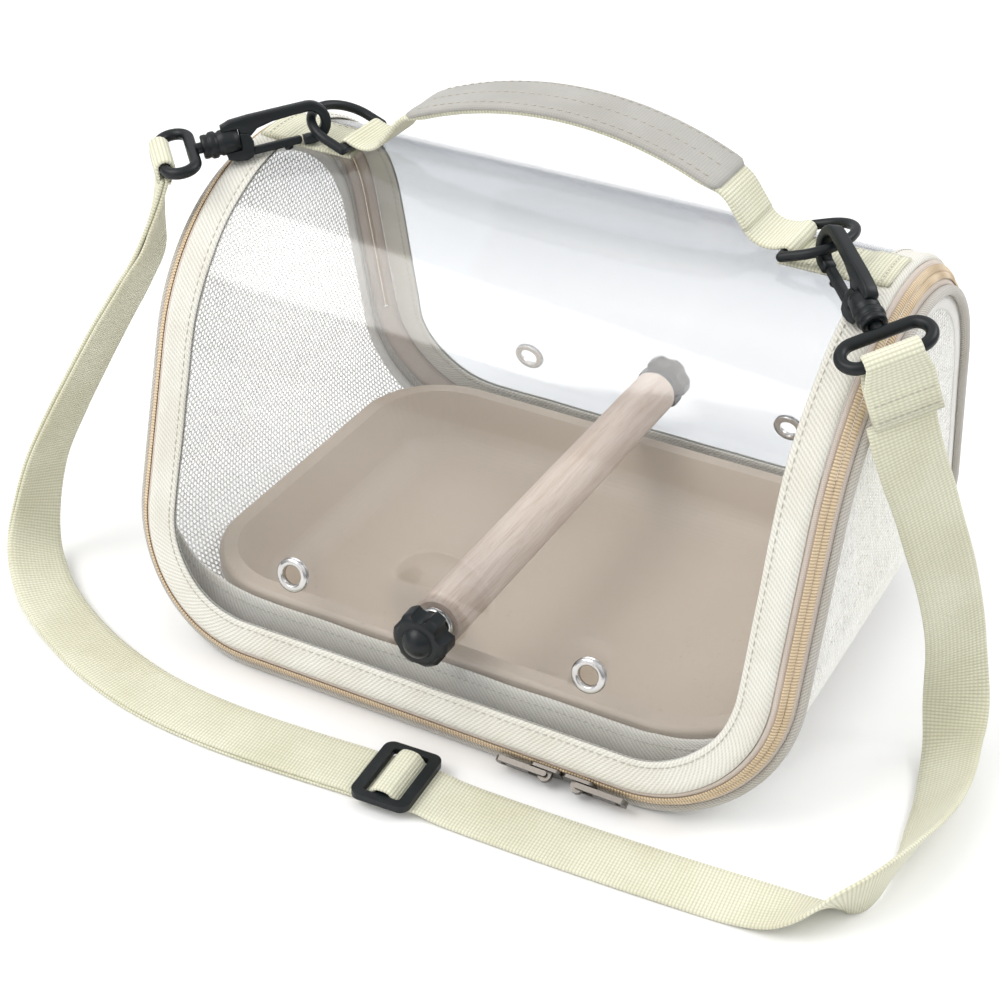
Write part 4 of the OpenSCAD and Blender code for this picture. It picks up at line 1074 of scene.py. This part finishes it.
def handle():
    """Webbing from tab to tab, sunk under its padded wrap, and the wrap with its sewn middle groove"""
    line = cut_line(handle_line(), 0, SWING_X + 0.55)
    for k, p in enumerate(line):
        a = math.atan2(p.x, p.y - HANDLE_CZ)
        under = clamp((WRAP_A - a) / 0.05)
        line[k] = p - 1.25 * under * heading(a)
    whole = [Vector((-p.x, p.y)) for p in line[::-1]] + line[1:]
    swept("handle_web", webbing_rings(whole, WEB_W / 2, 2.0), WEBBING, "handle", "handle_webbing")
    section = []
    for k in range(28):
        t = 2 * math.pi * k / 28
        c, s = math.cos(t), math.sin(t)
        section.append((PAD_HALF * math.copysign(abs(c) ** 0.42, c), PAD_RISE * math.copysign(abs(s) ** 0.62, s)))
    rings = []
    for i in range(61):
        a = WRAP_A * (i / 30 - 1)
        edge = min(a + WRAP_A, WRAP_A - a) * HANDLE_R
        round_off = math.sqrt(max(0.0, 1 - (1 - min(1, edge / 4)) ** 2))
        w = 0.8 + 0.2 * round_off
        t = 0.62 + 0.38 * round_off
        normal = Vector((math.sin(a), 0, math.cos(a)))
        wave = 0.075 * drift(a * 14, 3.1, 0)
        ring = []
        for y, z in section:
            groove = 1 - 0.2 * math.exp(-(y / 1.4) ** 2)
            ring.append(Vector((0, y * w, HANDLE_CZ)) + (HANDLE_R + 0.75 + z * t * groove + wave) * normal)
        rings.append(ring)
    wrap = swept("handle_pad", rings, WRAP, "handle", "handle_wrap")
    marks = []
    k = int(2 * WRAP_A * HANDLE_R / 3.4)
    for i in range(2, k - 1):
        a = -WRAP_A + 2 * WRAP_A * i / k
        normal = Vector((math.sin(a), 0, math.cos(a)))
        for y, rise in ((0, 2.2), (-11.6, 2.34), (11.6, 2.34)):
            at = Vector((0, y, HANDLE_CZ)) + (HANDLE_R + rise) * normal
            marks.append((at, Vector((math.cos(a), 0, -math.sin(a))), normal))
    stitching("handle_stitches", marks, THREAD, "handle", 2.2, 0.6, 0.5)


handle()


def on_crown(x, y, off):
    """Place at a distance off the crown's round"""
    return Vector((x, y, CROWN_Z + math.sqrt((CROWN_R + off) ** 2 - y * y)))


def tab(side, m):
    """Webbing laid round the D-ring's bar, and its end stitched down over the crown to the rim"""
    bm = bmesh.new()
    line = cut_line(handle_line(), SWING_X + 0.65, TURN_CX)
    bend = FOLD_R + 0.85
    way = line + [Vector((TURN_CX + (DRING_X - TURN_CX) * i / 6, ROOT_Z + (bend - 1) * (i / 6) ** 2))
                  for i in range(1, 6)]
    way += [Vector((DRING_X + bend * math.sin(a), DRING_Z + bend * math.cos(a)))
            for a in [math.pi * i / 10 for i in range(11)]]
    skin(bm, webbing_rings(way, WEB_W / 2, 1.5))
    rings = []
    over_x = EDGE_X - BIND_W - 1.2
    end = DRING_X + 32 + 7.5
    for i in range(31):
        x = DRING_X - 2 + (end - DRING_X + 2) * i / 30
        rise = clamp((x - over_x + 2.5) / 2.5)
        off = 0.12 + 0.85 * rise
        width = [-12.4 + 24.8 * k / 10 for k in range(11)]
        rings.append([on_crown(x, y, off + 1.35) for y in width] + [on_crown(x, -y, off) for y in width])
    skin(bm, rings)
    across = [k * 2.6 for k in range(-4, 5)]
    marks = [(on_crown(x, y, 1.5), Y_AXIS, Z_AXIS) for x in (97.5, 113) for y in across]
    marks += [(on_crown(99.5 + k * 2.8, y, 1.5), X_AXIS, Z_AXIS) for y in (-10.6, 10.6) for k in range(5)]
    marks += [(on_crown(127, y, 2.35), Y_AXIS, Z_AXIS) for y in across]
    if m < 0:
        for v in bm.verts:
            v.co.x = -v.co.x
        bmesh.ops.recalc_face_normals(bm, faces=bm.faces)
        marks = [(flip_x(a), flip_x(b), c) for a, b, c in marks]
    fitted(f"{side}_web_tab", bm, WEBBING, "lid", f"{side}_tab")
    stitching(f"{side}_tab_stitches", marks, THREAD, "lid", 1.9)


tab("left", -1)
tab("right", 1)

# ---- Hooks and eyelets ----


def plate(bm, outline, y0, y1, edge):
    """Flat shape in x and z, thickened along y and eased along its edges"""
    verts = [bm.verts.new((x, y0, z)) for x, z in outline]
    face = bm.faces.new(verts)
    up = bmesh.ops.extrude_face_region(bm, geom=[face])["geom"]
    top = [g for g in up if isinstance(g, bmesh.types.BMVert)]
    bmesh.ops.translate(bm, verts=top, vec=(0, y1 - y0, 0))
    caps = [f for group in (verts, top) for f in bm.faces
            if len(f.verts) == len(outline) and all(v in group for v in f.verts)]
    rim = list({e for f in caps for e in f.edges})
    bmesh.ops.bevel(bm, geom=rim, offset=edge, offset_type="OFFSET", affect="EDGES", segments=3, profile=0.5,
                    material=-1)


def lathe(bm, profile, steps=40, closed=True):
    """Profile of (radius, height) spun round Z"""
    verts = [bm.verts.new((r, 0, z)) for r, z in profile]
    edges = [bm.edges.new(pair) for pair in zip(verts, verts[1:])]
    if closed:
        edges.append(bm.edges.new((verts[-1], verts[0])))
    bmesh.ops.spin(bm, geom=verts + edges, cent=(0, 0, 0), axis=(0, 0, 1), angle=2 * math.pi, steps=steps,
                   use_merge=True)


def settle(bm, matrix):
    """Turn a finished shape into its place"""
    bmesh.ops.transform(bm, matrix=matrix, verts=bm.verts)
    bmesh.ops.recalc_face_normals(bm, faces=bm.faces)


def arc_points(cx, cz, r, a0, a1, n):
    return [(cx + r * math.cos(a), cz + r * math.sin(a)) for a in [a0 + (a1 - a0) * i / n for i in range(n + 1)]]


def hook(side):
    """Swivel snap hook with its sprung gate, built upright from its swivel and turned into place"""
    place, turn = swivel_turn(side, True)
    to_place = Matrix.Translation(place / 1000) @ turn.to_4x4() @ Matrix.Scale(0.001, 4)
    eye, reach = 4.35, 37.2
    outer = eye + 3.9
    bm = bmesh.new()
    bow = arc_points(0, reach, outer, math.pi, 0, 14)
    inner = arc_points(0, reach, eye, 0, math.pi, 12)
    outline = [(-4.0, 2.4), (-6.6, 2.6), (-7.9, 6.5), (-8.3, 14)] + bow + [(8.1, 33.3), (4.4, 33.3)] + inner
    outline += [(-4.3, 31), (-3.9, 23), (-2.6, 16.5), (-0.4, 13.6), (-0.4, 9.1), (-4.0, 9.1)]
    plate(bm, outline, -2.6, 2.6, 0.95)
    cheek = [(-2.4, 9.2), (-1.6, 12.6), (1.5, 14.0), (5.0, 13.6), (7.6, 12.6), (8.5, 10.0), (7.9, 6.0), (6.6, 2.8),
             (4.1, 2.6), (4.1, 9.0)]
    for m in (-1, 1):
        y0, y1 = sorted((m * 1.95, m * 3.25))
        plate(bm, cheek, y0, y1, 0.4)
    lathe(bm, [(2.3, -6), (4.3, -6), (4.7, -5.5), (4.8, -4.0), (4.6, -3.7), (4.6, -3.2), (5.1, -2.8), (5.3, -2.2),
               (5.3, -0.8), (5.1, -0.3), (4.5, 0.1), (4.5, 0.7), (5.0, 1.2), (5.1, 3.2), (4.9, 6.0), (4.5, 8.8),
               (3.9, 8.8), (3.9, 6.0), (2.3, 6.0)])
    settle(bm, to_place)
    fitted(f"{side}_snap_hook", bm, BLACK, f"{side}_hook", f"{side}_hook")
    bm = bmesh.new()
    plate(bm, [(4.35, 9.2), (4.9, 8.6), (6.7, 8.6), (7.3, 9.2), (7.3, 31.6), (6.4, 32.7), (4.9, 32.7), (4.35, 32.0)],
          -1.75, 1.75, 0.5)
    bar = set(bm.verts)
    lathe(bm, [(0, -0.6), (1.7, -0.6), (1.75, 0.7), (1.5, 1.2), (0, 1.35)], 20, False)
    stud = [v for v in bm.verts if v not in bar]
    turned = Matrix.Translation((7.3, 0, 27.0)) @ Matrix.Rotation(math.pi / 2, 4, "Y")
    bmesh.ops.transform(bm, matrix=turned, verts=stud)
    bmesh.ops.remove_doubles(bm, verts=stud, dist=1e-4)
    settle(bm, to_place)
    fitted(f"{side}_snap_gate", bm, BLACK, f"{side}_hook_gate", f"{side}_hook_gate")


hook("right")
hook("left")


def eyelet(node, at, way):
    """Two-part eyelet clamped over the sheet: a rolled collar outside, a washer inside"""
    bm = bmesh.new()
    lathe(bm, [(4.0, -1.5), (4.0, 0.2), (4.15, 0.6), (4.55, 0.9), (5.1, 1.0), (5.8, 0.92), (6.5, 0.6),
               (6.95, 0.12), (6.9, 0.0), (5.0, 0.0), (4.85, -0.15), (4.85, -0.9), (5.0, -1.02), (6.9, -1.02),
               (6.95, -1.2), (6.5, -1.6),
               (5.4, -1.85), (4.5, -1.8)], 48)
    turn = way.to_track_quat("Z", "Y").to_matrix().to_4x4()
    settle(bm, Matrix.Translation(at / 1000) @ turn @ Matrix.Scale(0.001, 4))
    fitted(node + "_eyelet", bm, STEEL, "lid", node)


for face, word in ((-1, "front"), (1, "back")):
    for gx, hand in ((-EYELET_X, "left"), (EYELET_X, "right")):
        at, way = on_front(gx, SEAT_S), OUTWARD.copy()
        if face > 0:
            at, way = back_of(at), back_of(way)
        eyelet(f"grommet_{word}_{hand}", at, way)
    eyelet(f"grommet_{word}_mid", Vector((0, face * SEAT_Y, PERCH_Z)), Vector((0, face, 0)))

# ---- Finishes of the construction's own pieces ----


def dress(names, finish):
    for name in names:
        ob = NODES[name]
        if not ob.material_slots:
            ob.data.materials.append(finish)
        for s in ob.material_slots:
            s.material = finish
        for f in ob.data.polygons:
            f.use_smooth = False


dress(["tray"], TRAY)
dress(["perch_dowel"], PERCH)
dress(["front_knob", "back_knob"], KNOB)
dress(["left_d_ring", "right_d_ring", "left_strap_ring", "right_strap_ring", "strap_slider"], BLACK)
dress(["left_zip_slider", "right_zip_slider", "left_zip_pull", "right_zip_pull"], SLIDER_METAL)

# ---- Floor and light ----


def floor():
    net = Net("studio_floor")
    net.colour(net.shade(net.cloud(3, 2), (0.90, 0.90, 0.90), (0.915, 0.915, 0.915)))
    net.set(Roughness=0.95, Specular_IOR_Level=0.1)
    bm = bmesh.new()
    bmesh.ops.create_grid(bm, x_segments=2, y_segments=2, size=6.0)
    ob = piece("floor", bm, net.mat, smooth=False)
    for v in ob.data.vertices:
        v.co.z = -0.0002


def lamp(name, place, aim, size, power, tone=(1, 1, 1)):
    data = bpy.data.lights.new(name, "AREA")
    data.shape = "RECTANGLE"
    data.size, data.size_y = size
    data.energy = power
    data.color = tone
    ob = bpy.data.objects.new(name, data)
    ob.location = place
    ob.rotation_euler = (Vector(aim) - Vector(place)).to_track_quat("-Z", "Y").to_euler()
    bpy.context.scene.collection.objects.link(ob)


def studio():
    world = bpy.data.worlds.new("studio")
    bpy.context.scene.world = world
    world.use_nodes = True
    tree = world.node_tree
    where = tree.nodes.new("ShaderNodeTexCoord")
    split = tree.nodes.new("ShaderNodeSeparateXYZ")
    tree.links.new(where.outputs["Generated"], split.inputs[0])
    ramp = tree.nodes.new("ShaderNodeValToRGB")
    stops = ramp.color_ramp.elements
    stops[0].position, stops[0].color = 0.0, (0.30, 0.31, 0.33, 1)
    stops[1].position, stops[1].color = 0.55, (1, 1, 1, 1)
    mid = stops.new(0.16)
    mid.color = (0.42, 0.43, 0.45, 1)
    tree.links.new(split.outputs[2], ramp.inputs[0])
    tree.links.new(ramp.outputs[0], tree.nodes["Background"].inputs[0])
    tree.nodes["Background"].inputs[1].default_value = 1.05
    lamp("key", (-0.9, -0.9, 1.5), (0, 0, 0.05), (1.2, 1.0), 16, (1, 0.99, 0.975))
    lamp("rim", (1.0, 0.7, 1.3), (0, 0, 0.08), (1.0, 0.8), 9, (0.98, 0.99, 1))
    lamp("front", (-0.42, -1.05, 0.32), (0, 0, 0.1), (0.8, 0.8), 1.3, (1, 1, 1))
    bpy.context.scene.view_settings.view_transform = "Standard"


floor()
studio()
